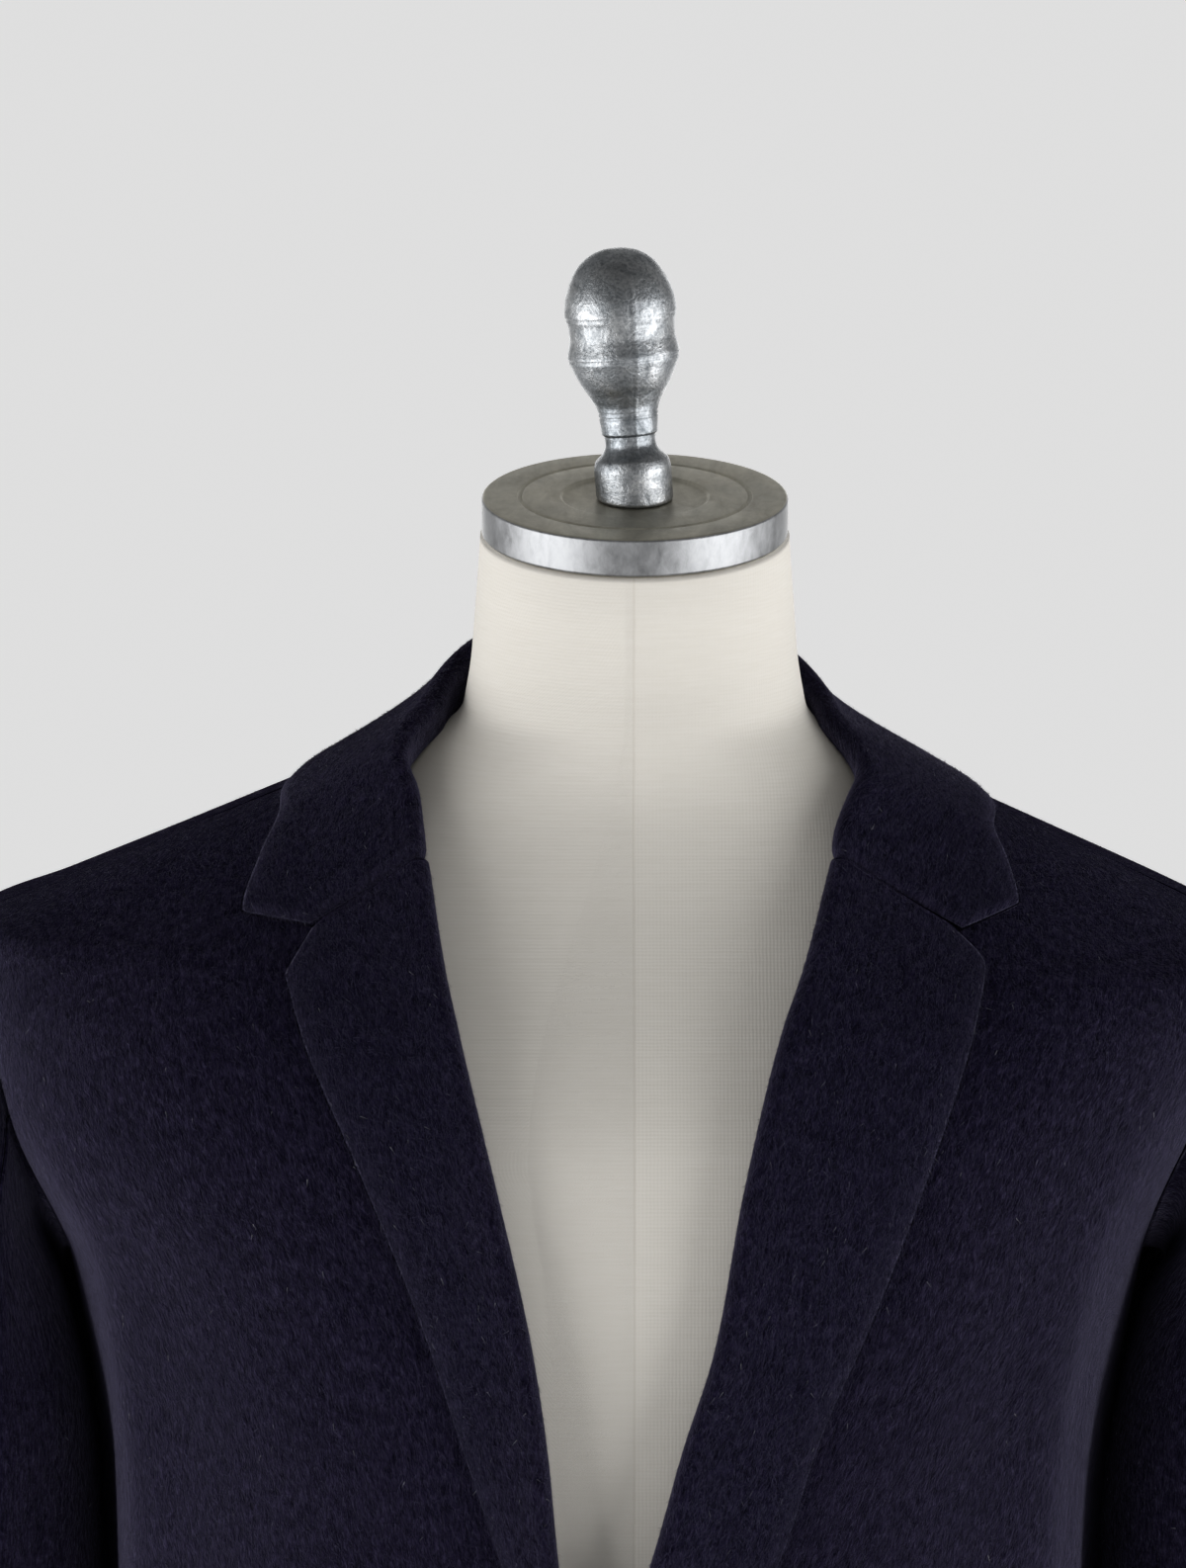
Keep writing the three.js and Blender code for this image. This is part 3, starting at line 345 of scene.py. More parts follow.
def shell(name, middle, normal, thickness, rims, free_from=None, thinned=0.0, crease_shade=0.0):
    """Closed cloth piece about a grid of middle points, with rounded edges.

    rims gives first row, last row, first column and last column. free_from is the column from
    which the last row is a free edge. The attribute edge is the distance from the nearest free edge, and
    crease_shade is painted shade, how much darker the hollow between sleeve and body is painted.
    """
    rows, columns = middle.shape[:2]
    low, high, first, last = rims
    along_rows = arc_lengths(middle, 0)
    along_columns = arc_lengths(middle, 1)
    far = 60.0
    edge = np.full((rows, columns), far)
    if low["free"]:
        edge = np.minimum(edge, along_rows)
    if high["free"] or free_from is not None:
        from_top = along_rows[-1:] - along_rows
        if free_from is not None:
            sideways = np.maximum(0, along_columns[-1:, free_from:free_from + 1] - along_columns)
            from_top = np.hypot(from_top, sideways)
        edge = np.minimum(edge, from_top)
    if first["free"]:
        edge = np.minimum(edge, along_columns)
    if last["free"]:
        edge = np.minimum(edge, along_columns[:, -1:] - along_columns)
    down, across = tangents(middle, 0), tangents(middle, 1)
    middle = middle.copy()
    near_edge = 1 - smooth(edge, 0, PRESSED)
    half = (thickness / 2) * (1 - thinned * near_edge)
    middle -= normal * (thinned * near_edge * thickness / 2)[..., None]

    loop, off, reach = [], [], []
    high_reach = np.full(columns, high["reach"])
    square = {}
    if free_from is not None:
        high_reach[free_from:] = FREE["reach"]
    for r in range(rows):
        square[(r, 0)] = first["square"]
        square[(r, columns - 1)] = last["square"]
    for c in range(columns):
        square[(0, c)] = low["square"]
        square[(rows - 1, c)] = high["square"] if high_reach[c] == high["reach"] else 1.0
    for c in range(columns):
        loop.append((0, c))
        off.append(clear_of(-down[0, c], normal[0, c], across[0, c]))
        reach.append(low["reach"])
    for r in range(rows):
        loop.append((r, columns - 1))
        off.append(clear_of(across[r, -1], normal[r, -1], down[r, -1]))
        reach.append(last["reach"])
    for c in range(columns - 1, -1, -1):
        loop.append((rows - 1, c))
        off.append(clear_of(down[-1, c], normal[-1, c], across[-1, c]))
        reach.append(high_reach[c])
    for r in range(rows - 1, -1, -1):
        loop.append((r, 0))
        off.append(clear_of(-across[r, 0], normal[r, 0], down[r, 0]))
        reach.append(first["reach"])
    sums = {}
    for place, way, amount in zip(loop, off, reach):
        sums[place] = sums.get(place, 0) + way * amount
    order = list(dict.fromkeys(loop))
    for place, shift in sums.items():
        middle[place] -= shift
    outer = middle + normal * half[..., None]
    inner = middle - normal * half[..., None]
    points = [outer.reshape(-1, 3), inner.reshape(-1, 3)]
    count = rows * columns
    index = np.arange(count).reshape(rows, columns)
    quads = np.stack([index[:-1, :-1], index[:-1, 1:], index[1:, 1:], index[1:, :-1]], -1).reshape(-1, 4)
    faces = [quads, quads[:, ::-1] + count]
    u, v = along_columns, along_rows
    uv = np.stack([u, v], -1).reshape(-1, 2)
    uvs = [uv, uv]
    edges = [edge.ravel(), edge.ravel()]
    crease_shade = np.broadcast_to(crease_shade, edge.shape)
    crease_shades = [crease_shade.ravel(), crease_shade.ravel()]
    ring_crease_shade = np.array([crease_shade[p] for p in order])
    ring_before = np.array([index[p] for p in order])
    ring_last = ring_before + count
    start = 2 * count
    shifts = np.array([sums[p] for p in order])
    centres = np.array([middle[p] for p in order])
    normals = np.array([normal[p] for p in order])
    ring_uv = uv[ring_before]
    ring_half = np.array([half[p] for p in order])[:, None]
    ring_square = np.array([square[p] for p in order])[:, None]
    for step in range(1, RIM_STEPS):
        angle = math.pi / 2 - math.pi * step / RIM_STEPS
        out = signed_power(math.cos(angle), ring_square)
        high_part = signed_power(math.sin(angle), ring_square)
        ring = centres + shifts * out + normals * ring_half * high_part
        points.append(ring)
        uvs.append(ring_uv + 0.3 * step)
        edges.append(np.full(len(order), -ON_RIM))
        crease_shades.append(ring_crease_shade)
        here = np.arange(start, start + len(order))
        faces.append(band(ring_before, here))
        ring_before = here
        start += len(order)
    faces.append(band(ring_before, ring_last))
    points, faces = np.concatenate(points), np.concatenate(faces)
    corner = points[faces[:, 0]]
    area = np.cross(points[faces[:, 1]] - corner, points[faces[:, 2]] - corner)
    turn = np.cross(points[faces[:, 2]] - corner, points[faces[:, 3]] - corner)
    if np.sum(corner * (area + turn)) < 0:
        faces = faces[:, ::-1]
    values = {"edge": np.concatenate(edges) * MM, "crease_shade": np.concatenate(crease_shades)}
    made = make_mesh(name, points, faces.tolist(), np.concatenate(uvs), values)
    outside[name] = {"point": outer, "normal": normal, "down": down, "edge": edge}
    lengthwise, sideways = middle[1:, :-1] - middle[:-1, :-1], middle[:-1, 1:] - middle[:-1, :-1]
    quad_area = np.linalg.norm(np.cross(lengthwise, sideways), axis=-1)
    made["cloth_area"] = float(quad_area.sum() * MM * MM)
    return made


outside = {}  # outer surfaces of the cloth pieces by name, for the nap


def subdivide(stops, parts):
    """Each stretch between stops cut into equal parts."""
    pieces = [np.linspace(a, b, n, endpoint=False) for a, b, n in zip(stops, stops[1:], parts)]
    return np.concatenate([*pieces, [stops[-1]]])


def low_swell(points, seed, size, height):
    """Slow uneven swelling of cloth, from a few waves of different directions."""
    waves = np.random.default_rng(seed)
    total = np.zeros(points.shape[:-1])
    for _ in range(7):
        way = unit(waves.normal(size=3) * np.array([1, 1, 0.45]))
        phase = waves.uniform(0, 2 * math.pi)
        total += np.sin(points @ way * 2 * math.pi / (size * waves.uniform(0.7, 1.5)) + phase)
    return height * total / 7


def front_panel(side):
    rows = subdivide([0, SIDE_ROWS, ROWS], [130, 66])
    shares = subdivide([0, 0.04, 0.16, 1], [8, 10, 50])
    phi, z = front_places(side, rows, shares)
    point, normal = surface(side, phi, z)
    swell = low_swell(point, 3 + side, 150, 0.9)
    quiet = smooth(phi, math.radians(12), math.radians(30))
    middle = point + normal * (swell * quiet - WALL / 2)[..., None]
    # Painted shade: the front is painted darker where it turns into the hollow beside the sleeve.
    beside_sleeve = smooth(z, 820, 900) * (1 - smooth(z, 1235, 1310))
    crease_shade = 0.6 * smooth(phi, math.radians(67), math.radians(84)) * beside_sleeve
    return shell("coat_front_" + WORD[side], middle, normal, WALL, (FREE, SEWN, FREE, SEWN), crease_shade=crease_shade)


def back_panel(side):
    rows = subdivide([0, SIDE_ROWS, ROWS], [130, 66])
    corner = NECK_COLUMNS / (NECK_COLUMNS + FRONT_COLUMNS)
    shares = subdivide([0, corner, 1], [20, 52])
    phi, z = back_places(side, rows, shares)
    point, normal = surface(side, phi, z)
    swell = low_swell(point, 7 + side, 150, 0.9)
    middle = point + normal * (swell * smooth(math.pi - phi, 0, 0.3) - WALL / 2)[..., None]
    return shell("coat_back_" + WORD[side], middle, normal, WALL, (FREE, SEWN, SEWN, SEWN))


# Sleeves
SLEEVE = table("inner innerZ outer fall half middle clear", [
    [219, 1240, 258, 0, 74, 0, 0],
    [222, 1233, 271, 8, 76, 1, 3],
    [221, 1222, 281, 24, 79, 1, 4],
    [219, 1206, 289, 46, 82, 0, 4],
    [217, 1184, 296, 82, 84, -2, 4],
    [216, 1156, 301, 122, 85, -4, 4],
    [216, 1122, 304, 168, 85, -6, 4],
    [217, 1084, 306, 216, 84, -8, 4],
    [219, 1042, 307, 266, 82, -11, 4],
    [221, 996, 307, 318, 79, -14, 5],
    [224, 946, 307, 372, 75, -18, 6],
    [227, 892, 307, 428, 71, -23, 6],
    [230, 836, 307, 486, 67, -28, 6],
    [233, 778, 306, 576, 64, -34, 6],
])
SLEEVE_POWER, CREASE_POWER = 2.3, 1.25
SLEEVE_LEAD = {RIGHT: 0, LEFT: -18}
SLEEVE_YAW = {RIGHT: math.radians(9), LEFT: math.radians(16)}
BLEND_RINGS = 4
HEAD_RISE = 2.6  # how much the head of a sleeve stands above the shoulder seam
sleeve_size = curves(SLEEVE, np.arange(len(SLEEVE["inner"])))

# Drag lines and creases of the sleeves: step is the place round the sleeve (0 at the body, 5 at
# the front, 10 outside, 15 at the back), ring the place along it, and slant its change per ring.
CREASES = table("side step ring slant height wide long", [
    [RIGHT, 5.2, 3.4, 1.0, -3.2, 0.8, 1.8],
    [RIGHT, 4.0, 5.0, 0.8, 2.6, 0.8, 2.2],
    [RIGHT, 6.6, 7.2, -0.5, -2.4, 0.9, 2.2],
    [RIGHT, 5.0, 9.6, 0.7, 2.6, 1.0, 1.6],
    [RIGHT, 14.6, 4.0, -0.9, -3.0, 0.9, 2.0],
    [RIGHT, 13.4, 8.3, 0.5, -2.8, 1.0, 1.7],
    [RIGHT, 9.6, 6.6, 0.3, 1.8, 1.4, 2.4],
    [LEFT, 5.4, 3.2, 1.1, -3.4, 0.8, 1.7],
    [LEFT, 4.2, 4.8, 0.7, 2.8, 0.9, 2.4],
    [LEFT, 6.9, 7.6, -0.6, -2.6, 0.9, 2.0],
    [LEFT, 5.3, 9.2, 0.6, 2.4, 1.0, 1.8],
    [LEFT, 14.9, 4.4, -0.8, -3.0, 0.9, 2.2],
    [LEFT, 13.1, 8.7, 0.6, -2.6, 1.0, 1.6],
    [LEFT, 10.2, 6.0, -0.3, 1.8, 1.4, 2.6],
])


def body_reach(side, y, z):
    depth = np.where(y < 0, front_depth(z), back_depth(z))
    turn = np.arccos(np.minimum(1, np.abs(y) / depth) ** (power(z) / 2))
    return np.abs(body_point(side, np.where(y < 0, turn, math.pi - turn), z)[..., 0])


def sleeve_surface(side, rings, steps):
    ring, step = rings[:, None], steps[None, :]
    size = {name: f(ring) for name, f in sleeve_size.items()}
    phi, z0 = armhole_place(side, step)
    start = body_point(side, phi, z0)
    turn = 2 * math.pi * step / LOOP
    inward = signed_power(np.cos(turn), 2 / SLEEVE_POWER)
    roundness = np.where(step % LOOP < ARM_ROWS / 2, CREASE_POWER, 2 / SLEEVE_POWER)
    forward = signed_power(np.sin(turn), roundness)
    outer_z = TIP_Z[side] - size["fall"]
    y = size["middle"] + SLEEVE_LEAD[side] * smooth(ring, 0, 6) - forward * size["half"]
    z = (size["innerZ"] + outer_z) / 2 + inward * (size["innerZ"] - outer_z) / 2
    yaw = forward * size["half"] * math.tan(SLEEVE_YAW[side])
    across = (size["inner"] + size["outer"]) / 2 - inward * (size["outer"] - size["inner"]) / 2 - yaw
    shaped = np.stack([side * across, y + 0 * z, z + 0 * y], axis=-1)
    blend = (1 - np.maximum(0, 1 - ring / BLEND_RINGS) ** 1.6)[..., None]
    point = start * (1 - blend) + shaped * blend
    least = body_reach(side, point[..., 1], point[..., 2]) + size["clear"]
    hug = smooth(inward, 0.25, 0.8) * smooth(ring, 1, 3) * (1 - smooth(ring, 8, 11))
    reach = np.abs(point[..., 0]) * (1 - hug) + least * hug
    soft = 3.0 * smooth(ring, 0, 2)
    point[..., 0] = side * (reach + least + np.sqrt((reach - least) ** 2 + soft ** 2)) / 2
    down, along = tangents(point, 0), tangents(point, 1)
    centre = point.mean(axis=1, keepdims=True)
    normal = unit(np.cross(along, down))
    flip = dot(normal, point - centre).mean() < 0
    normal = -normal if flip else normal
    height = np.zeros(point.shape[:2])
    for fold_side, at_step, at_ring, slant, tall, wide, long in zip(*CREASES.values()):
        if fold_side == side:
            turned = (step - at_step - slant * (ring - at_ring) + ARM_ROWS) % LOOP - ARM_ROWS
            height = height + tall * np.exp(-(turned / wide) ** 2 - ((ring - at_ring) / long) ** 2)
    height = height + low_swell(point, 13 + side, 110, 1.0)
    quiet = smooth(ring, 0.2, 1.6) * (1 - 0.6 * smooth(ring, 12, 13))
    gap = np.clip((np.abs(point[..., 0]) - least) / 8, 0, 1)
    height = np.where(height > 0, height * gap, height) * quiet
    from_head = ((ring - 0.9) / 0.7) ** 2 + ((step % LOOP - ARM_ROWS) / 3.2) ** 2
    height = height + HEAD_RISE * np.exp(-from_head)
    return point + normal * height[..., None], normal


def sleeve_half(side, part, first_step):
    rings = subdivide([0, 2, 13], [18, 88])
    steps = first_step + np.linspace(0, ARM_ROWS, 41)
    whole = np.linspace(0, LOOP, 4 * 20 + 1)
    point, normal = sleeve_surface(side, rings, whole)
    pick = np.round(((steps % LOOP) / LOOP) * 80).astype(int)
    point, normal = point[:, pick], normal[:, pick]
    middle = point - normal * WALL / 2
    name = f"coat_sleeve_{part}_{WORD[side]}"
    # Painted shade: the sleeve is painted darker where it faces the body, in the hollow between them.
    inward = np.cos(2 * math.pi * steps / LOOP)[None, :]
    level = smooth(rings, 0.5, 2) * (1 - smooth(rings, 10, 12))
    crease_shade = smooth(inward, 0.22, 0.72) * level[:, None]
    return shell(name, middle, normal, WALL, (SEWN, FREE, SEWN, SEWN), crease_shade=crease_shade)


# Folded pieces: each line stands on an edge, turns over and lies on the cloth.
ARC_STEPS = 14
STAND_STEPS = 5


def folded_line(edge, up, out, stand, radius, base, base_normal, reach, settle):
    point, normal, off = edge
    turned = math.sqrt(max(0, 1 - float(up @ off) ** 2))
    start = point - normal * WALL / 2 + off * (0.1 + DOUBLE / 2 * turned)
    centre = start + up * stand + out * radius
    lie = LIE + DOUBLE / 2
    foot = base[0] + base_normal[0] * lie

    def laid(top):
        gone = np.linalg.norm(base - base[0], axis=1)
        left = np.maximum(0, 1 - gone / reach)[:, None] ** settle
        return base + base_normal * lie + (top - foot) * left

    def on_arc(angle):
        return centre - out * radius * math.cos(angle) + up * radius * math.sin(angle)

    way = laid(on_arc(math.pi))[1] - on_arc(math.pi)
    end = math.atan2(way @ out, way @ up) % (2 * math.pi)
    line = [start + up * stand * i / STAND_STEPS for i in range(STAND_STEPS)]
    line += [on_arc(end * i / ARC_STEPS) for i in range(ARC_STEPS + 1)]
    return np.array([*line, *laid(on_arc(end))[1:]])


def edge_frames(point, normal, beside):
    """Points, normals and ways off the cloth along one edge of a panel."""
    along = tangents(point, 0)
    return point, normal, clear_of(point - beside, normal, along)


LAPEL_EDGE = table("z right left", [
    [1068, -23, -16],
    [1088, -28.5, 6],
    [1110, -35.5, 28],
    [1150, -48.8, 51.4],
    [1201, -65.8, 68.5],
    [1240, -78.8, 85.8],
    [1296, -102, 108],
    [1344, -124.5, 125.2],
    [1366, -131.8, 131.1],
])
lapel_at = curves(LAPEL_EDGE, LAPEL_EDGE["z"])
lapel_edge = {RIGHT: lapel_at["right"], LEFT: lapel_at["left"]}
LAPEL_TIP_Z = {RIGHT: 1362.5, LEFT: 1366}
LAPEL_FOOT = {RIGHT: 0.75, LEFT: 0.2}
NOTCH = {RIGHT: (-120.5, 1377.5), LEFT: (120.2, 1375.5)}
COLLAR_TIP = {RIGHT: (-147.5, 1380.5), LEFT: (143.3, 1382.5)}
TIP_ROUND = {RIGHT: 4.0, LEFT: 9.0}
ROLL_REACH = 42.0
GORGE_SHARES = np.array([
    0, 0.02, 0.05, 0.09, 0.14, 0.2, 0.27, 0.35, 0.44, 0.53, 0.62, 0.71, 0.8, 0.87, 0.93, 0.97, 1])
POINT_SHARES = np.array([0.06, 0.14, 0.24, 0.35, 0.46, 0.57, 0.67, 0.76, 0.84, 0.9, 0.95, 1])


def gorge_line(start, notch, tip):
    start, notch, tip = (np.array(p, float) for p in (start, notch, tip))
    inner = start + (notch - start) * GORGE_SHARES[:, None]
    return np.concatenate([inner, notch + (tip - notch) * POINT_SHARES[:, None]])


def line_shares(line):
    length = np.insert(np.cumsum(np.linalg.norm(np.diff(line, axis=0), axis=1)), 0, 0)
    return length / length[-1]


def round_corner(lines, radius):
    """Turns the sharp corner at the last row and last column into a rounded one, in place."""
    from_top = arc_lengths(lines, 0)[-1:] - arc_lengths(lines, 0)
    from_edge = arc_lengths(lines, 1)[:, -1:] - arc_lengths(lines, 1)
    down, across = tangents(lines, 0), tangents(lines, 1)
    a = np.clip((radius - from_top) / radius, 0, 1)
    b = np.clip((radius - from_edge) / radius, 0, 1)
    lines -= down * (a - a * np.sqrt(1 - b * b / 2))[..., None] * radius
    lines -= across * (b - b * np.sqrt(1 - a * a / 2))[..., None] * radius


def wall_normals(lines, outward_line):
    normal = unit(np.cross(tangents(lines, 0), tangents(lines, 1)))
    return normal if (normal[:, -3] * outward_line).sum() > 0 else -normal


def lapel(side):
    gorge_row = LOW_ROWS + EDGE_ROWS
    rows = subdivide([LOW_ROWS + LAPEL_FOOT[side], gorge_row - 0.5, gorge_row], [84, 20])
    shares_in = np.array([0, 0.004])
    point, normal = surface(side, *front_places(side, rows, shares_in))
    edge_point, edge_normal, off = edge_frames(point[:, 0], normal[:, 0], point[:, 1])
    gorge = edge_point[-1][[0, 2]]
    tip = np.array([float(lapel_edge[side](LAPEL_TIP_Z[side])), LAPEL_TIP_Z[side]])
    top = gorge_line(gorge, NOTCH[side], tip)
    straight_gap = tip - gorge
    shares = np.linalg.norm(top - gorge, axis=1) / np.linalg.norm(straight_gap)
    notch_column = len(GORGE_SHARES) - 1
    ends = np.linspace(shares[notch_column], 1, len(POINT_SHARES) + 1)[1:]
    shares[notch_column + 1:] = ends
    lines, over = [], []
    for i in range(len(rows)):
        z = edge_point[i, 2]
        up = (z - edge_point[0, 2]) / (edge_point[-1, 2] - edge_point[0, 2])
        edge_z = edge_point[0, 2] + (LAPEL_TIP_Z[side] - edge_point[0, 2]) * up
        inner = edge_point[i][[0, 2]]
        outer = np.array([float(lapel_edge[side](edge_z)), edge_z])
        near = max(0, (up - 0.6) / 0.4) ** 2
        place = inner + (outer - inner) * shares[:, None]
        place += near * (top - (gorge + straight_gap * shares[:, None]))
        base, base_normal = surface(side, phi_at(side, side * place[:, 0], place[:, 1]), place[:, 1])
        base[0], base_normal[0] = edge_point[i], edge_normal[i]
        across = np.linalg.norm(base[-1] - base[0])
        lines.append(folded_line(
            (edge_point[i], edge_normal[i], off[i]), off[i], edge_normal[i], 1.0, float(fold_radius(z)),
            base, base_normal, min(ROLL_REACH, across * 0.9), 2))
        over.append(base_normal[-3])
    lines = np.array(lines)
    round_corner(lines, TIP_ROUND[side])
    normal = wall_normals(lines, np.array(over))
    free_from = lines.shape[1] - len(POINT_SHARES) - 1
    name = "coat_lapel_" + WORD[side]
    return shell(name, lines, normal, DOUBLE, (FREE, SEWN, SEWN, FREE), free_from, 0.22)


COLLAR = table("share rightPhi rightZ rightStand leftPhi leftZ leftStand", [
    [0, 37.8, 1380.5, 1, 43.9, 1382.5, 1],
    [0.35, 49.8, 1398, 2.5, 55, 1396, 1.5],
    [0.7, 65, 1411, 7, 66, 1405, 2],
    [1, 92, 1418, 10, 93, 1411.5, 3],
    [1.5, 136, 1425, 21, 136, 1423, 17],
    [2, 180, 1432, 28, 180, 1432, 28],
])
collar_at = curves(COLLAR, COLLAR["share"])


def collar_half(side):
    """Lines of half the collar from the gorge to the nape."""
    rows = subdivide([LOW_ROWS + EDGE_ROWS, LOW_ROWS + EDGE_ROWS + 0.5, ROWS], [14, 26])
    phi_front, z_front = front_places(side, rows, np.array([0, 0.004]))
    corner = NECK_COLUMNS / (NECK_COLUMNS + FRONT_COLUMNS)
    shares_back = np.linspace(corner, 0, 34)
    phi_back, z_back = back_places(side, np.array([ROWS, ROWS - 0.02]), shares_back)
    point, normal = surface(side, phi_front, z_front)
    front = edge_frames(point[:, 0], normal[:, 0], point[:, 1])
    point_back, normal_back = surface(side, phi_back, z_back)
    back = edge_frames(point_back[0], normal_back[0], point_back[1])
    joined = []
    for a, b in zip(front, back):
        both = np.concatenate([a[:-1], (a[-1:] + b[:1]) / 2, b[1:]])
        joined.append(both)
    edge_point, edge_normal, off = joined
    for _ in range(6):
        off[1:-1] = (off[:-2] + 2 * off[1:-1] + off[2:]) / 4
        edge_normal[1:-1] = (edge_normal[:-2] + 2 * edge_normal[1:-1] + edge_normal[2:]) / 4
    off, edge_normal = unit(off), unit(edge_normal)
    phi = np.concatenate([phi_front[:, 0], phi_back[0, 1:]])
    z = np.concatenate([z_front[:, 0], z_back[0, 1:]])
    front_share = (rows - rows[0]) / NECK_ROWS
    back_share = 1 + (corner - shares_back[1:]) / corner
    share = np.concatenate([front_share, back_share])
    along = tangents(edge_point, 0)
    along[0] = unit(np.cross(off[0], edge_normal[0]))
    along[-1] = (side, 0, 0)
    gorge = edge_point[0][[0, 2]]
    top = gorge_line(gorge, NOTCH[side], COLLAR_TIP[side])
    parts = line_shares(top)
    top_phi, top_z = phi_at(side, side * top[:, 0], top[:, 1]), top[:, 1]
    lines, over = [], []
    for i in range(len(share)):
        s = share[i]
        end_phi = math.radians(float(collar_at[WORD[side] + "Phi"](s)))
        end_z = float(collar_at[WORD[side] + "Z"](s))
        stand = float(collar_at[WORD[side] + "Stand"](s))
        if s == 0:
            end_phi, end_z = top_phi[-1], top_z[-1]
        near = max(0, 1 - s / 0.6) ** 2
        place_phi = phi[i] + (end_phi - phi[i]) * parts
        place_z = z[i] + (end_z - z[i]) * parts
        place_phi += near * (top_phi - (top_phi[0] + (top_phi[-1] - top_phi[0]) * parts))
        place_z += near * (top_z - (top_z[0] + (top_z[-1] - top_z[0]) * parts))
        base, base_normal = surface(side, place_phi, place_z)
        base[0], base_normal[0] = edge_point[i], edge_normal[i]
        rises = float(smooth(s, 0, 0.9))
        inwards = unit(np.array([-edge_point[i, 0], -edge_point[i, 1], 0]))
        upright = np.array([0, 0, 1]) + 0.12 * inwards
        way = unit(along[i])
        up = clear_of(off[i] * (1 - rises) + upright * rises, way)
        out = unit(np.cross(way, up))
        out = out if out @ edge_normal[i] > 0 else -out
        fall = np.linalg.norm(base[-1] - base[0])
        lines.append(folded_line(
            (edge_point[i], edge_normal[i], off[i]), up, out, stand, FOLD_RADIUS,
            base, base_normal, ROLL_REACH + (fall - ROLL_REACH) * rises, 2 - 0.9 * rises))
        over.append(base_normal[-3])
    lines = np.array(lines)
    flipped = lines[::-1].copy()
    round_corner(flipped, 3.0)
    return flipped[::-1], np.array(over)


def collar():
    right, over_right = collar_half(RIGHT)
    left, over_left = collar_half(LEFT)
    lines = np.concatenate([right, left[-2::-1]])
    over = np.concatenate([over_right, over_left[-2::-1]])
    normal = wall_normals(lines, over)
    return shell("coat_collar", lines, normal, DOUBLE, (FREE, FREE, SEWN, FREE), None, 0.45)


# The dress form
FORM_BOTTOM_Z = 820.0
FORM_SIDE, FORM_SIDE_SOFT = 197.0, 4.0
FORM_GAP = table("z gap", [
    [820, 20],
    [960, 24],
    [1080, 22],
    [1200, 11],
    [1320, 8],
    [1366, 12],
    [1382, 13],
    [1396, 8],
    [1409, 5.5],
    [1431, 3.5],
])
form_gap = curve(FORM_GAP["z"], FORM_GAP["gap"])
NECK_RINGS = table("z y radius tilt", [
    [1440, 9.5, 67.5, 0],
    [1451, 8.5, 65.5, 0],
    [1466, 6.5, 63, 2],
    [1484, 3.2, 61.5, 4.5],
    [1500, -0.5, 60.2, 7.2],
    [1514.7, -2.5, 59.2, 9.4],
])


def softened(rings, passes, share):
    """Rings averaged with their neighbours, each by its own share."""
    soft = rings.copy()
    for _ in range(passes):
        soft[1:-1] = (soft[:-2] + 2 * soft[1:-1] + soft[2:]) / 4
    share = share[:, None, None]
    return rings * (1 - share) + soft * share


def form_torso():
    """Torso and neck in one: the coat's surface moved inwards, then tipped rings up to the cap."""
    levels = np.concatenate([np.linspace(820, 1200, 60), np.linspace(1206, 1431, 56)])
    turns = 96
    rings = []
    for z in levels:
        halves = []
        for side in (LEFT, RIGHT):
            phi = np.linspace(0, math.pi, turns // 2 + 1)
            point, normal = surface(side, phi, np.full(phi.shape, z))
            point = point - normal * (WALL + float(form_gap(z)))
            reach = np.abs(point[:, 0])
            past = reach - FORM_SIDE
            point[:, 0] = side * (reach + FORM_SIDE - np.sqrt(past ** 2 + FORM_SIDE_SOFT ** 2)) / 2
            point[0, 0] = point[-1, 0] = 0
            halves.append(point)
        rings.append(np.concatenate([halves[0], halves[1][-2:0:-1]]))
    last = len(NECK_RINGS["z"]) - 1
    sizes = curves(NECK_RINGS, np.arange(last + 1))
    turn = 2 * math.pi * np.arange(turns) / turns
    for t in np.linspace(0, last, 40):
        lean = math.radians(float(sizes["tilt"](t)))
        forward = sizes["radius"](t) * np.cos(turn)
        rings.append(np.stack([
            sizes["radius"](t) * np.sin(turn),
            sizes["y"](t) - forward * math.cos(lean),
            sizes["z"](t) - forward * math.sin(lean),
        ], -1))
    rings = np.array(rings)
    rings[0, :, 2] = FORM_BOTTOM_Z
    neck = len(levels)
    at_neck, at_chest = np.zeros((2, len(rings)))
    at_neck[neck - 10:neck + 10] = 1
    at_chest[:neck] = smooth(levels, 1290, 1335) * (1 - smooth(levels, 1380, 1406))
    rings = softened(rings, 12, at_neck)
    rings = softened(rings, 60, at_chest)
    round_uv = arc_lengths(np.concatenate([rings, rings[:, :1]], 1), 1)
    high_uv = np.broadcast_to(arc_lengths(rings, 0)[:, :1], rings.shape[:2])
    return closed_rings("form_linen", rings, np.stack([round_uv[:, :-1], high_uv], -1))


def closed_rings(name, rings, uv=None, values=None):
    """Closed body from rings. values are point attributes given for each ring."""
    levels, count = rings.shape[:2]
    points = np.concatenate([rings.reshape(-1, 3), rings[:1].mean(1), rings[-1:].mean(1)])
    index = np.arange(levels * count).reshape(levels, count)
    after = np.roll(index, -1, axis=1)
    faces = np.stack([index[:-1], after[:-1], after[1:], index[1:]], -1).reshape(-1, 4).tolist()
    bottom, top = levels * count, levels * count + 1
    faces += [[bottom, int(b), int(a)] for a, b in zip(index[0], after[0])]
    faces += [[top, int(a), int(b)] for a, b in zip(index[-1], after[-1])]
    uvs = None
    if uv is not None:
        uvs = np.concatenate([uv.reshape(-1, 2), uv[:1, 0], uv[-1:, 0]])
    whole = {}
    for key, each in (values or {}).items():
        whole[key] = np.concatenate([np.repeat(each, count), [each[0], each[-1]]])
    return make_mesh(name, points, faces, uvs, whole)


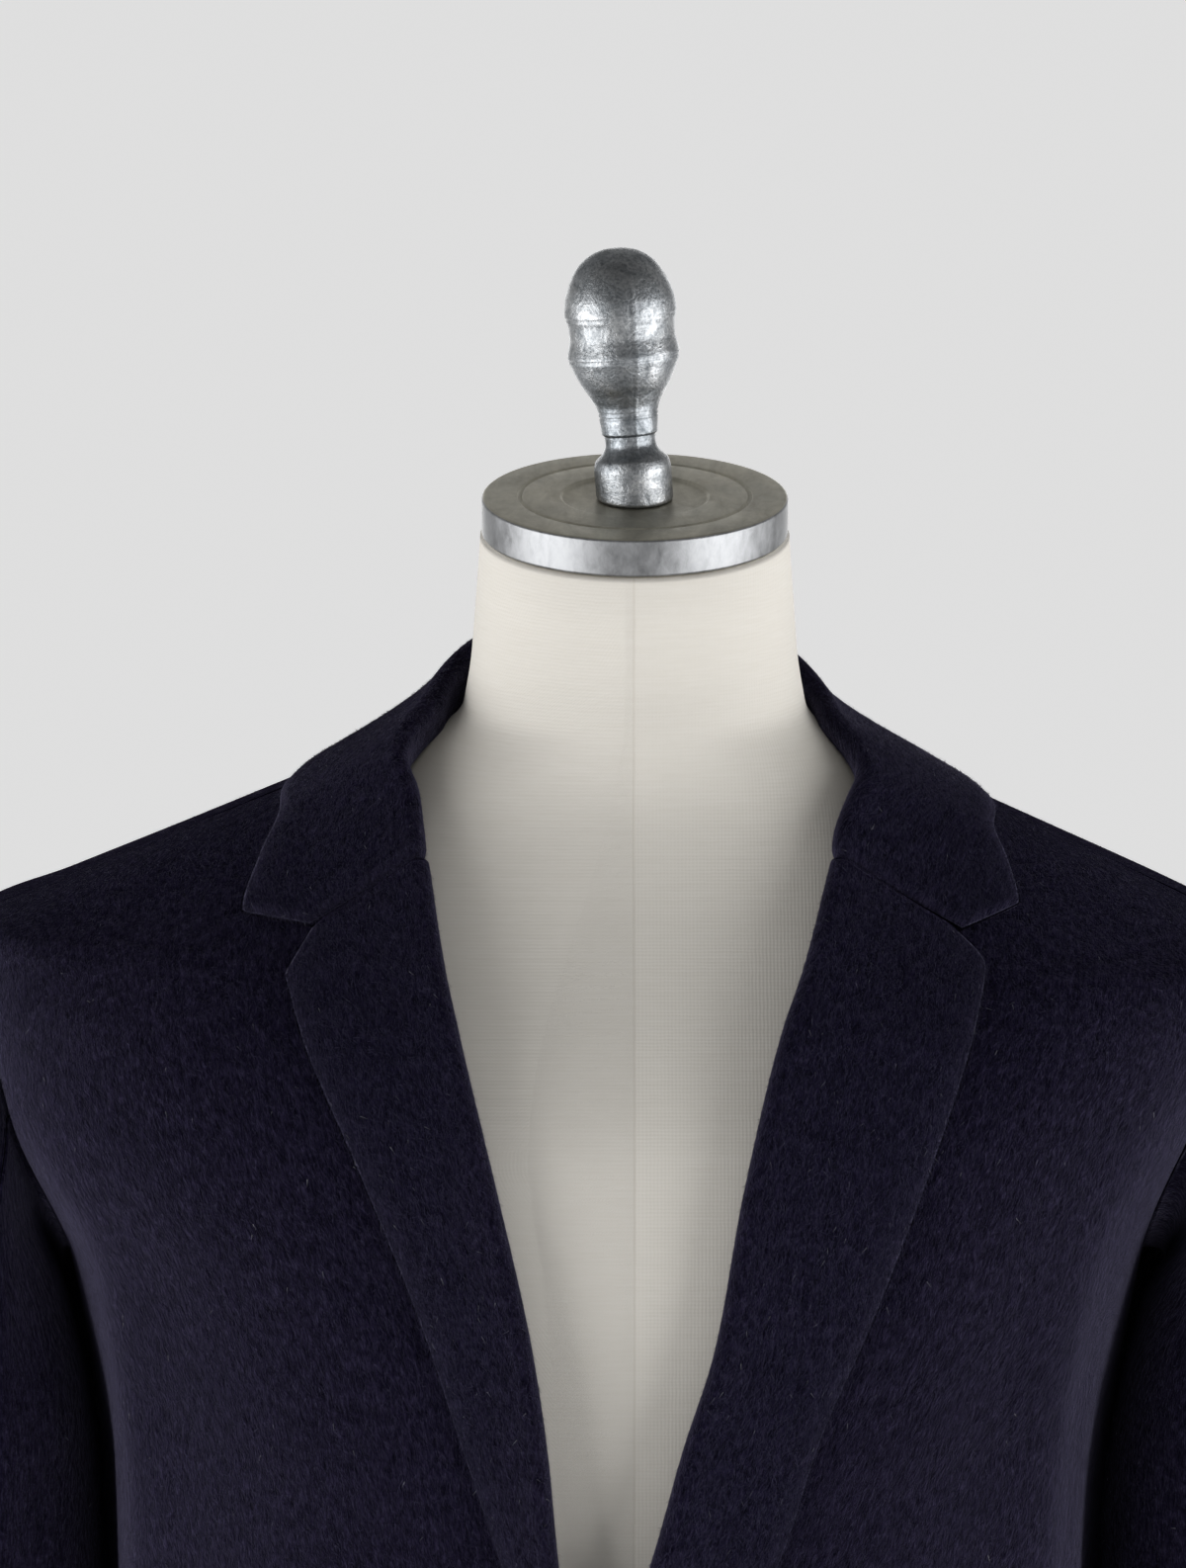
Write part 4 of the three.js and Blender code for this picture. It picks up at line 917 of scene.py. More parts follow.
def turned(profile, sides=128):
    """Rings of a solid of revolution about +Z."""
    radius, height = np.array(profile, float).T
    turn = 2 * math.pi * np.arange(sides) / sides
    rings = np.stack([
        radius[:, None] * np.cos(turn), radius[:, None] * np.sin(turn), height[:, None] + 0 * turn,
    ], -1)
    return rings


def tilted(points, angle, place):
    """Points tipped about the x axis and moved to their place."""
    cosine, sine = math.cos(angle), math.sin(angle)
    turn = np.array([[1, 0, 0], [0, cosine, -sine], [0, sine, cosine]])
    return points @ turn.T + np.array(place)


def rounded(profile, radius=0.7, steps=4):
    """Profile of a turned piece with each corner rounded."""
    profile = np.array(profile, float)
    out = [profile[0]]
    for a, b, c in zip(profile, profile[1:], profile[2:]):
        r = min(radius, np.linalg.norm(b - a) * 0.45, np.linalg.norm(c - b) * 0.45)
        before, after = b + unit(a - b) * r, b + unit(c - b) * r
        for i in range(steps + 1):
            t = i / steps
            out.append((1 - t) ** 2 * before + 2 * t * (1 - t) * b + t * t * after)
    out.append(profile[-1])
    return np.array(out)


def smooth_profile(profile, count):
    profile = np.array(profile, float)
    at = np.insert(np.cumsum(np.linalg.norm(np.diff(profile, axis=0), axis=1)), 0, 0)
    fine = np.linspace(0, at[-1], count)
    return np.stack([curve(at, profile[:, 0])(fine), curve(at, profile[:, 1])(fine)], -1)


CAP_TILT = math.radians(9.4)
CAP_TOP = (0, -5, 1530)
CAP = [[57.4, -15], [58.6, -14], [58.6, -0.8], [57.8, 0], [45, 0], [44.5, -0.8], [43.5, -0.8], [43, 0],
       [28.5, 0], [27.5, -1.2], [12, -1.2]]
SEAT_DEPTH = 1.2
FINIAL_LEAN = math.radians(4.5)
FOOT_HEIGHT = 10.9
FINIAL = [[14.2, 0], [14.7, 0.8], [14.7, 10.9], [14, 14.5], [10.9, 17.8], [9.6, 21], [9.9, 24],
          [10.6, 24.7], [10.9, 27.5], [11.7, 34.4], [13.8, 38.9], [17, 44.3], [19.6, 49.8],
          [21.3, 54.8], [20.6, 58.8], [20.1, 62.4], [20.2, 66.1], [21.3, 70.6], [21, 75],
          [19.9, 79.6], [17, 86], [13.4, 90.7], [7.5, 94.2], [3, 95.2], [0.6, 95.3]]
# Turned lines of the finial: height, depth and width of each V
FINIAL_LINES = [[54.0, 0.35, 0.5], [69.8, 0.35, 0.5], [24.3, 0.4, 0.35], [31.4, 0.35, 0.3],
                [33.2, 0.35, 0.3]]
BASE = [[206, 0], [210, 2], [210, 9], [206, 12], [48, 16], [32, 20], [28, 26], [28, 58], [26, 61],
        [20, 61.4]]
POLE = [[17, 61.7], [17, 819.7]]


def neck_cap():
    profile = rounded(CAP, 0.6)
    rings = tilted(turned(profile, 192), CAP_TILT, CAP_TOP)
    rim = smooth(profile[:, 0], 57.8, 58.3) * smooth(-profile[:, 1], 0.1, 0.5)
    return closed_rings("form_cap_metal", rings, None, {"rim": rim})


def finial():
    corner = smooth_profile(FINIAL, 220)
    for height, depth, width in FINIAL_LINES:
        corner[:, 0] -= depth * np.exp(-((corner[:, 1] - height) / width) ** 2)
    rings = turned(corner, 128)
    turn = np.arctan2(rings[..., 1], rings[..., 0])
    seam = np.exp(-((turn + 1.32) / 0.02) ** 2) * smooth(rings[..., 2], 12, 16) * 0.22
    rings[..., :2] *= 1 + (seam / np.maximum(np.hypot(rings[..., 0], rings[..., 1]), 1))[..., None]
    height = rings[..., 2].copy()
    foot = 1 - np.clip(height / FOOT_HEIGHT, 0, 1)
    rings[..., 2] += (1 - foot) * rings[..., 0] * math.tan(FINIAL_LEAN)
    rings[..., 2] += foot * rings[..., 1] * math.tan(CAP_TILT)
    rings[..., 0] -= height * math.tan(FINIAL_LEAN)
    x, y, z = CAP_TOP
    return closed_rings("form_finial_metal", rings + np.array([x, y, z - SEAT_DEPTH + 0.3]))


# Buttons, their thread and their holes in the cloth, in a flat frame that is then set on the front
BUTTON_LEVELS = {"button_1": 1036.0, "button_2": 918.0, "button_3": 800.0}
BUTTON = [[0.05, 0.4], [12.0, 0.4], [12.7, 0.8], [13.0, 1.7], [13.0, 3.5], [12.7, 4.4], [12.0, 4.9],
          [11.0, 4.9], [10.0, 4.4], [9.2, 3.9], [8.4, 3.75], [0.05, 3.75]]
HOLE_AT, HOLE_RADIUS, HOLE_DEPTH = 2.6, 1.15, 2.6
SLIT_FROM, SLIT_TO = -3.0, 26.0
STITCH_STEP, STITCH_REACH, SLIT_HALF = 0.8, 2.3, 0.35


def strand(path, radius, sides=8):
    """Points and faces of a round thread along a path, closed at its ends."""
    path = np.array(path, float)
    way = tangents(path, 0)
    side = unit(np.cross(way, np.array([0.31, 0.17, 0.93])))
    over = np.cross(way, side)
    turn = 2 * math.pi * np.arange(sides) / sides
    thick = radius * np.minimum(1, 0.45 + np.minimum(np.arange(len(path)), np.arange(len(path))[::-1]))
    rings = path[:, None] + thick[:, None, None] * (
        side[:, None] * np.cos(turn)[:, None] + over[:, None] * np.sin(turn)[:, None])
    index = np.arange(len(path) * sides).reshape(-1, sides)
    after = np.roll(index, -1, axis=1)
    faces = np.stack([index[:-1], after[:-1], after[1:], index[1:]], -1).reshape(-1, 4).tolist()
    return rings.reshape(-1, 3), faces + [index[0, ::-1].tolist(), index[-1].tolist()]


def joined(parts):
    points, faces, count = [], [], 0
    for each, each_faces in parts:
        points.append(each)
        faces += [[count + i for i in face] for face in each_faces]
        count += len(each)
    return np.concatenate(points), faces


def on_front(points, z):
    """Moves points from the flat frame (x to the coat's left, y up, z off the cloth) onto the front."""
    place, normal = surface(LEFT, phi_at(LEFT, points[:, 0], z + points[:, 1]), z + points[:, 1])
    return place + normal * points[:, 2:]


def button(name, z):
    corner = smooth_profile(BUTTON, 96)
    rings = turned(corner, 96)
    on_top = smooth(corner[:, 1], 3.0, 3.6)[:, None]
    depth = 0
    for x in (-HOLE_AT, HOLE_AT):
        for y in (-HOLE_AT, HOLE_AT):
            far = np.hypot(rings[..., 0] - x, rings[..., 1] - y)
            depth = depth + HOLE_DEPTH * (1 - smooth(far, HOLE_RADIUS - 0.15, HOLE_RADIUS + 0.25))
    rings[..., 2] -= depth * on_top
    place, normal = surface(LEFT, phi_at(LEFT, 0.0, z), z)
    across = unit(np.cross(np.array([0, 0, 1.0]), normal))
    frame_ways = np.array([across, np.cross(normal, across), normal])
    body = closed_rings("coat_" + name, rings @ frame_ways + place)
    threads = []
    for layer, slope in enumerate((1, -1)):
        for aside in (-0.55, 0, 0.55):
            t = np.linspace(-1, 1, 17)
            high = 3.95 + 0.45 * layer + 0.35 * (1 - t ** 2) - 2.2 * smooth(np.abs(t), 0.82, 1)
            x, y = HOLE_AT * 1.05 * t, slope * HOLE_AT * 1.05 * t
            shift = aside * (1 - 0.5 * t ** 2) / math.sqrt(2)
            path = np.stack([x - slope * shift, y + shift, high], -1)
            points, faces = strand(path, 0.3)
            threads.append((points @ frame_ways + place, faces))
    return body, make_mesh("coat_" + name + "_thread", *joined(threads))


def stitch(start, end, z):
    """One purl stitch from the slit outwards, a little proud of the cloth."""
    t = np.linspace(0, 1, 7)[:, None]
    flat = np.array(start) + (np.array(end) - np.array(start)) * t
    path = np.concatenate([flat, 0.42 * np.sin(math.pi * (0.15 + 0.85 * t))], -1)
    points, faces = strand(path, 0.36, 6)
    return on_front(points, z), faces


def buttonhole(name, z):
    """Purl stitches round a slit that runs from the centre line to the coat's left."""
    chance = np.random.default_rng(int(z))
    stitches = []
    for x in np.arange(SLIT_FROM, SLIT_TO, STITCH_STEP):
        for side in (-1, 1):
            reach = STITCH_REACH + chance.uniform(-0.15, 0.15)
            lean = chance.uniform(-0.12, 0.12)
            stitches.append(stitch((x, side * SLIT_HALF), (x + lean, side * reach), z))
    for turn in np.linspace(-1.3, 1.3, 7):
        way = np.array([math.cos(turn), math.sin(turn)])
        eye = np.array([SLIT_TO, 0])
        stitches.append(stitch(eye + SLIT_HALF * way, eye + (SLIT_HALF + 2.0) * way, z))
    return make_mesh("coat_" + name + "_hole", *joined(stitches))


# Nap: short fibres lying down the cloth, one thin triangle each
def nap(name, count, bias, seed):
    """Fibres on a cloth piece. bias is how much more of them stand near the free edges."""
    face = outside[name]
    chance = np.random.default_rng(seed)
    point, normal, down, edge = (face[key] for key in ("point", "normal", "down", "edge"))
    a, b, c = point[:-1, :-1], point[1:, :-1], point[:-1, 1:]
    area = np.linalg.norm(np.cross(b - a, c - a), axis=-1)
    high = 0.25 + 0.75 * smooth(point[:-1, :-1, 2], 930, 1050)
    weight = area * high * (1 + bias * np.exp(-edge[:-1, :-1] / 4))
    share = np.cumsum(weight.ravel()) / weight.sum()
    cell = np.searchsorted(share, chance.random(count))
    i, j = np.unravel_index(np.minimum(cell, area.size - 1), area.shape)
    s, t = chance.random((2, count, 1))

    def at(grid):
        near = grid[i, j] * (1 - s) + grid[i + 1, j] * s
        far = grid[i, j + 1] * (1 - s) + grid[i + 1, j + 1] * s
        return near * (1 - t) + far * t

    root, out, lie = at(point), unit(at(normal)), -unit(at(down))
    side = np.cross(out, lie)
    angle = chance.normal(0.12, 0.55, (count, 1))
    way = lie * np.cos(angle) + side * np.sin(angle)
    lift = np.abs(chance.normal(0.10, 0.16, (count, 1)))
    tip_way = unit(way + out * lift)
    length = chance.uniform(1.4, 3.4, (count, 1))
    width = chance.uniform(0.05, 0.11, (count, 1))
    sideways = unit(np.cross(tip_way, out)) * width
    base = root + out * 0.02
    triangles = np.stack([base - sideways, base + sideways, base + tip_way * length], 1).reshape(-1, 3)
    mesh = bpy.data.meshes.new(name + "_nap")
    mesh.vertices.add(3 * count)
    mesh.vertices.foreach_set("co", (triangles * MM).ravel())
    mesh.loops.add(3 * count)
    mesh.loops.foreach_set("vertex_index", np.arange(3 * count, dtype=np.int32))
    mesh.polygons.add(count)
    mesh.polygons.foreach_set("loop_start", np.arange(0, 3 * count, 3, dtype=np.int32))
    mesh.polygons.foreach_set("loop_total", np.full(count, 3, np.int32))
    tone = mesh.attributes.new("tone", "FLOAT", "POINT")
    tone.data.foreach_set("value", np.repeat(chance.random(count), 3).astype(np.float32))
    mesh.update()
    made = bpy.data.objects.new(name + "_nap", mesh)
    bpy.context.scene.collection.objects.link(made)
    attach(made, "root")
    return made


# Materials
SHEEN, SHEEN_ROUGHNESS = 0.4, 0.35
SHEEN_ON_TOP = 0.16 * SHEEN  # painted shade: less sheen where the cloth faces up, so the shoulder tops are darker
SHEEN_TINT = (0.36, 0.34, 0.52, 1)


class Nodes:
    """Short way to wire a material's nodes."""

    def __init__(self, name):
        self.material = bpy.data.materials.new(name)
        self.material.use_nodes = True
        self.tree = self.material.node_tree
        self.shader = self.tree.nodes["Principled BSDF"]

    def add(self, kind, inputs=None, **settings):
        node = self.tree.nodes.new("ShaderNode" + kind)
        for key, value in settings.items():
            setattr(node, key, value)
        for key, value in (inputs or {}).items():
            self.set(node.inputs[key], value)
        return node

    def set(self, socket, value):
        if isinstance(value, bpy.types.NodeSocket):
            self.tree.links.new(value, socket)
        else:
            socket.default_value = value

    def give(self, name, value):
        """Sets or links one input of the material's own shader."""
        self.set(self.shader.inputs[name], value)

    def math(self, operation, a, b=0.0, clamp=False):
        node = self.add("Math", operation=operation, use_clamp=clamp)
        self.set(node.inputs[0], a)
        self.set(node.inputs[1], b)
        return node.outputs[0]

    def scaled(self, source, scale, rotation=(0, 0, 0)):
        return self.add("Mapping", {"Vector": source, "Scale": scale, "Rotation": rotation}).outputs[0]

    def noise(self, vector, scale, detail=4.0, roughness=0.6, distortion=0.0):
        inputs = {"Vector": vector, "Scale": scale, "Detail": detail, "Roughness": roughness,
                  "Distortion": distortion}
        return self.add("TexNoise", inputs).outputs["Fac"]

    def ramp(self, fac, stops):
        node = self.add("ValToRGB", {"Fac": fac})
        ramp = node.color_ramp
        while len(ramp.elements) < len(stops):
            ramp.elements.new(0.5)
        for element, (position, color) in zip(ramp.elements, stops):
            element.position = position
            element.color = (*color, 1)
        return node.outputs["Color"]

    def blend(self, mode, fac, a, b):
        node = self.add("Mix", data_type="RGBA", blend_type=mode)
        self.set(node.inputs[0], fac)
        self.set(node.inputs[6], a)
        self.set(node.inputs[7], b)
        return node.outputs[2]

    def tinted(self, fac, base, source, stops):
        """The base multiplied by a ramp of the source."""
        return self.blend("MULTIPLY", fac, base, self.ramp(source, stops))

    def ranged(self, value, low, high, to_low, to_high, how="LINEAR"):
        node = self.add("MapRange", {"Value": value, "From Min": low, "From Max": high, "To Min": to_low,
                                     "To Max": to_high}, interpolation_type=how)
        return node.outputs[0]

    def bump(self, height, distance, strength, normal=None):
        node = self.add("Bump", {"Height": height, "Distance": distance, "Strength": strength})
        if normal is not None:
            self.set(node.inputs["Normal"], normal)
        return node.outputs[0]


def wool_material():
    """Brushed wool: fibres lying downwards, small clumps, a painted highlight on free edges, painted
    shade.
    """
    n = Nodes("wool_navy_brushed")
    uv = n.add("UVMap", uv_map="cloth").outputs[0]
    streaks = n.noise(n.scaled(uv, (900, 260, 1)), 1.0, 5, 0.7, 0.6)
    fibres = n.noise(n.scaled(uv, (1900, 600, 1), (0, 0, 0.35)), 1.0, 3, 0.6, 0.4)
    clumps = n.noise(n.scaled(uv, (240, 150, 1)), 1.0, 4, 0.6, 0.3)
    clouds = n.noise(n.scaled(uv, (22, 15, 1)), 1.0, 3, 0.5)
    base = n.ramp(streaks, [(0.32, (0.0012, 0.0010, 0.0030)), (0.52, (0.0054, 0.0044, 0.0114)),
                            (0.70, (0.0165, 0.0142, 0.0300))])
    base = n.tinted(0.9, base, clumps, [(0.32, (0.35, 0.35, 0.42)), (0.68, (1.6, 1.6, 1.55))])
    base = n.tinted(0.8, base, clouds, [(0.3, (0.82, 0.82, 0.85)), (0.7, (1.18, 1.17, 1.14))])
    edge = n.add("Attribute", attribute_name="edge").outputs["Fac"]
    # Painted highlight: a lighter band along each free edge, where the rounded edge catches light.
    near = n.ranged(edge, 0.0028, 0.0068, 1.0, 0.0, "SMOOTHSTEP")
    base = n.blend("MULTIPLY", near, base, (1.9, 1.95, 1.75, 1))
    # Painted shade: the wool is painted darker, with less sheen, on the rims and, by crease_shade,
    # beside the sleeves.
    painted_shade = n.ranged(edge, -0.0012, 0.0012, 0.12, 1.0)
    crease_shade = n.add("Attribute", attribute_name="crease_shade").outputs["Fac"]
    lit = n.math("SUBTRACT", 1.0, n.math("MULTIPLY", crease_shade, 0.9))
    painted_shade = n.math("MULTIPLY", painted_shade, lit)
    base = n.blend("MULTIPLY", 1.0, base, painted_shade)
    n.give("Base Color", base)
    n.give("Roughness", 1.0)
    n.give("Specular IOR Level", 0.0)
    # Painted shade on top: the sheen weight falls where the cloth faces up.
    facing = n.add("SeparateXYZ", {"Vector": n.add("NewGeometry").outputs["Normal"]}).outputs["Z"]
    lying = n.ranged(facing, 0.35, 0.9, SHEEN, SHEEN_ON_TOP)
    n.give("Sheen Weight", n.math("MULTIPLY", painted_shade, lying))
    n.give("Sheen Roughness", SHEEN_ROUGHNESS)
    n.give("Sheen Tint", SHEEN_TINT)
    from_seam = n.math("ABSOLUTE", n.math("SUBTRACT", edge, 0.0062))
    groove = n.math("SUBTRACT", 1.0, n.math("DIVIDE", from_seam, 0.0024), True)
    height = n.math("ADD", n.math("MULTIPLY", streaks, 0.6), n.math("MULTIPLY", fibres, 0.3))
    height = n.math("ADD", height, n.math("MULTIPLY", clumps, 0.9))
    rough = n.bump(height, 0.0020, 1.0)
    n.give("Normal", n.bump(groove, -0.0005, 0.4, rough))
    return n.material


def nap_material():
    """Single fibres, each of its own tone."""
    n = Nodes("wool_navy_fibres")
    tone = n.add("Attribute", attribute_name="tone").outputs["Fac"]
    n.give("Base Color", n.ramp(tone, [
        (0.0, (0.0016, 0.0013, 0.0040)), (0.6, (0.0100, 0.0088, 0.0205)), (0.996, (0.026, 0.024, 0.046)),
        (1.0, (0.16, 0.16, 0.18))]))
    n.give("Roughness", 0.8)
    n.give("Specular IOR Level", 0.05)
    n.give("Sheen Weight", 0.2)
    n.give("Sheen Tint", SHEEN_TINT)
    return n.material


SEAM_X = -0.0007


def linen_material():
    """Plain woven cream linen with a slub here and there."""
    n = Nodes("linen_cream_plain_weave")
    uv = n.add("UVMap", uv_map="cloth").outputs[0]
    place = n.add("TexCoord").outputs["Object"]
    across = n.add("TexWave", {"Vector": uv, "Scale": 230.0, "Distortion": 1.5, "Detail": 2.0},
                   wave_type="BANDS", bands_direction="X").outputs["Fac"]
    along = n.add("TexWave", {"Vector": uv, "Scale": 230.0, "Distortion": 1.5, "Detail": 2.0},
                  wave_type="BANDS", bands_direction="Y").outputs["Fac"]
    weave = n.math("ADD", across, along)
    slub = n.noise(n.scaled(place, (60, 60, 1100)), 1.0, 3, 0.6)
    cloud = n.noise(n.scaled(place, (14, 14, 14)), 1.0, 3, 0.5)
    base = n.ramp(cloud, [(0.3, (0.498, 0.477, 0.440)), (0.7, (0.522, 0.500, 0.462))])
    base = n.tinted(0.4, base, slub, [(0.35, (0.95, 0.94, 0.92)), (0.65, (1.02, 1.02, 1.02))])
    spots = n.add("SeparateXYZ", {"Vector": place})
    from_seam = n.math("ABSOLUTE", n.math("SUBTRACT", spots.outputs["X"], SEAM_X))
    seam = n.math("SUBTRACT", 1.0, n.math("DIVIDE", from_seam, 0.0006), True)
    base = n.blend("MIX", n.math("MULTIPLY", seam, 0.45), base, (0.42, 0.39, 0.34, 1))
    n.give("Base Color", base)
    n.give("Roughness", 0.9)
    n.give("Specular IOR Level", 0.1)
    n.give("Sheen Weight", 0.1)
    height = n.math("ADD", n.math("MULTIPLY", weave, 0.5), n.math("MULTIPLY", slub, 0.6))
    height = n.math("SUBTRACT", height, n.math("MULTIPLY", seam, 2.0))
    n.give("Normal", n.bump(height, 0.0002, 0.35))
    return n.material


def cap_material():
    """Turned disc: a dark dull top with turning marks, and a bright rim brushed across."""
    n = Nodes("cap_turned_metal")
    place = n.add("TexCoord").outputs["Object"]
    rim = n.add("Attribute", attribute_name="rim").outputs["Fac"]
    mottle = n.noise(n.scaled(place, (120, 40, 120)), 1.0, 5, 0.7, 0.5)
    stains = n.noise(n.scaled(place, (25, 25, 25)), 1.0, 3, 0.5)
    top = n.ramp(mottle, [(0.3, (0.350, 0.328, 0.270)), (0.7, (0.535, 0.512, 0.428))])
    top = n.tinted(0.6, top, stains, [(0.35, (0.80, 0.82, 0.84)), (0.65, (1.1, 1.09, 1.06))])
    brushed = n.noise(n.scaled(place, (230, 230, 110)), 1.0, 5, 0.7, 0.3)
    bright = n.ramp(brushed, [(0.3, (0.155, 0.158, 0.163)), (0.7, (0.285, 0.290, 0.298))])
    n.give("Base Color", n.blend("MIX", rim, top, bright))
    n.give("Roughness", n.ranged(brushed, 0.3, 0.7, 0.34, 0.5))
    n.give("Metallic", 1.0)
    height = n.math("ADD", n.math("MULTIPLY", mottle, 0.3), n.math("MULTIPLY", brushed, 0.5))
    n.give("Normal", n.bump(height, 0.0005, 0.35))
    return n.material


def metal_material(name, dark, light, rough_low, rough_high, pits):
    """Cast or drawn metal: mottled colour, uneven gloss and fine pits."""
    n = Nodes(name)
    place = n.add("TexCoord").outputs["Object"]
    mottle = n.noise(n.scaled(place, (130, 130, 130)), 1.0, 6, 0.7, 0.8)
    blotch = n.noise(n.scaled(place, (38, 38, 38)), 1.0, 3, 0.5, 0.4)
    fine = n.noise(n.scaled(place, (900, 900, 900)), 1.0, 3, 0.6)
    base = n.ramp(mottle, [(0.34, dark), (0.66, light)])
    base = n.tinted(0.6, base, blotch, [(0.35, (0.66, 0.70, 0.74)), (0.65, (1.1, 1.08, 1.06))])
    base = n.tinted(0.7, base, fine, [(0.36, (0.5, 0.52, 0.54)), (0.56, (1.05, 1.05, 1.05))])
    n.give("Base Color", base)
    n.give("Roughness", n.ranged(mottle, 0.3, 0.7, rough_high, rough_low))
    n.give("Metallic", 1.0)
    height = n.math("ADD", n.math("MULTIPLY", mottle, pits), n.math("MULTIPLY", fine, 0.5))
    n.give("Normal", n.bump(height, 0.0006, 0.4))
    return n.material


def thread_material():
    """Twisted silk thread, a little glossy."""
    n = Nodes("thread_navy_silk")
    place = n.add("TexCoord").outputs["Object"]
    twist = n.noise(n.scaled(place, (2600, 2600, 1500)), 1.0, 2, 0.5, 0.5)
    silk = n.ramp(twist, [(0.3, (0.004, 0.004, 0.010)), (0.7, (0.018, 0.017, 0.036))])
    n.give("Base Color", silk)
    n.give("Roughness", 0.55)
    n.give("Specular IOR Level", 0.3)
    n.give("Normal", n.bump(twist, 0.0002, 0.6))
    return n.material


def horn_material():
    """Dark horn with brown veins."""
    n = Nodes("button_horn_dark")
    place = n.add("TexCoord").outputs["Object"]
    veins = n.noise(n.scaled(place, (160, 400, 160)), 1.0, 5, 0.6, 1.2)
    horn_tones = n.ramp(veins, [(0.35, (0.006, 0.006, 0.010)), (0.7, (0.030, 0.024, 0.026))])
    n.give("Base Color", horn_tones)
    n.give("Roughness", 0.45)
    n.give("Specular IOR Level", 0.3)
    n.give("Normal", n.bump(veins, 0.0002, 0.2))
    return n.material


FLOOR_GLOW = 0.53


def floor_material():
    """Pale paper floor."""
    n = Nodes("studio_floor")
    place = n.add("TexCoord").outputs["Object"]
    grain = n.noise(n.scaled(place, (300, 300, 300)), 1.0, 3, 0.6)
    paper = n.ramp(grain, [(0.3, (0.74, 0.74, 0.74)), (0.7, (0.76, 0.76, 0.76))])
    n.give("Base Color", paper)
    n.give("Emission Color", (1, 1, 1, 1))
    n.give("Emission Strength", FLOOR_GLOW)
    n.give("Roughness", 0.95)
    n.give("Specular IOR Level", 0.0)
    return n.material


wool = wool_material()
linen = linen_material()
fibres = nap_material()
cap_metal = cap_material()
finial_metal = metal_material(
    "finial_cast_metal", (0.15, 0.160, 0.168), (0.38, 0.39, 0.40), 0.26, 0.46, 1.8)
stand_metal = metal_material(
    "stand_steel", (0.24, 0.248, 0.256), (0.34, 0.348, 0.356), 0.34, 0.48, 0.2)
horn = horn_material()
thread = thread_material()


def finish_piece(made, material, slot, *nodes):
    made.data.materials.append(material)
    if nodes:
        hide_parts(*nodes)
    return made


# Fibres of each cloth piece: how many, and how much denser near its free edges. The row's place
# is the seed.
NAP = {
    "coat_front_right": (70000, 1),
    "coat_back_right": (20000, 1),
    "coat_lapel_right": (34000, 4),
    "coat_sleeve_upper_right": (28000, 1),
    "coat_sleeve_under_right": (10000, 1),
    "coat_front_left": (70000, 1),
    "coat_back_left": (20000, 1),
    "coat_lapel_left": (40000, 4),
    "coat_sleeve_upper_left": (28000, 1),
    "coat_sleeve_under_left": (12000, 1),
    "coat_collar": (48000, 4),
}


def cloth_piece(made, node):
    """Dresses a sheet of cloth and adds its nap."""
    finish_piece(made, wool, "wool", node)
    count, bias = NAP[made.name]
    hairs = nap(made.name, count, bias, list(NAP).index(made.name))
    finish_piece(hairs, fibres, "wool")


# The coat
for name, z in BUTTON_LEVELS.items():
    disc, threads = button(name, z)
    finish_piece(disc, horn, "button", name)
    finish_piece(threads, thread, "button")
    finish_piece(buttonhole(name, z), thread, "wool")
for side in (RIGHT, LEFT):
    word = WORD[side]
    cloth_piece(front_panel(side), "front_" + word)
    cloth_piece(back_panel(side), "back_" + word)
    cloth_piece(lapel(side), "lapel_" + word)
    for part, first in (("upper", ARM_ROWS / 2), ("under", LOOP - ARM_ROWS / 2)):
        half = sleeve_half(side, part, first)
        cloth_piece(half, f"sleeve_{part}_{word}")
cloth_piece(collar(), "collar")

# The form and the stand
finish_piece(form_torso(), linen, "linen", "form_torso")
finish_piece(neck_cap(), cap_metal, "cap_metal", "form_neck_cap")
finish_piece(finial(), finial_metal, "cap_metal", "form_finial")
base = closed_rings("stand_base_metal", turned(rounded(BASE, 1.5)))
pole = closed_rings("stand_pole_metal", turned(POLE, 64))
finish_piece(base, stand_metal, "stand_metal", "stand_base")
finish_piece(pole, stand_metal, "stand_metal", "stand_pole")


# Studio
def area_light(name, place, aim, size, watts, color=(1, 1, 1)):
    data = bpy.data.lights.new(name, "AREA")
    data.shape = "RECTANGLE"
    data.size, data.size_y = size
    data.energy = watts
    data.color = color
    made = bpy.data.objects.new(name, data)
    made.location = place
    way = np.array(aim, float) - np.array(place, float)
    pitch = math.atan2(math.hypot(way[0], way[1]), -way[2])
    made.rotation_euler = (pitch, 0, math.atan2(way[1], way[0]) - math.pi / 2)
    bpy.context.scene.collection.objects.link(made)
    return made


lights = [
    area_light("panel_right", (-1.75, -0.75, 1.02), (0, -0.1, 1.12), (2.2, 1.9), 57),
    area_light("panel_left", (1.75, -0.75, 1.02), (0, -0.1, 1.12), (2.2, 1.9), 57),
    area_light("panel_back", (0, 2.7, 1.3), (0, 0, 1.0), (2.4, 1.8), 24),
]
bpy.ops.mesh.primitive_plane_add(size=120, location=(0, 0, 0))
floor = bpy.context.object
floor.name = "studio_floor"
floor.data.materials.append(floor_material())
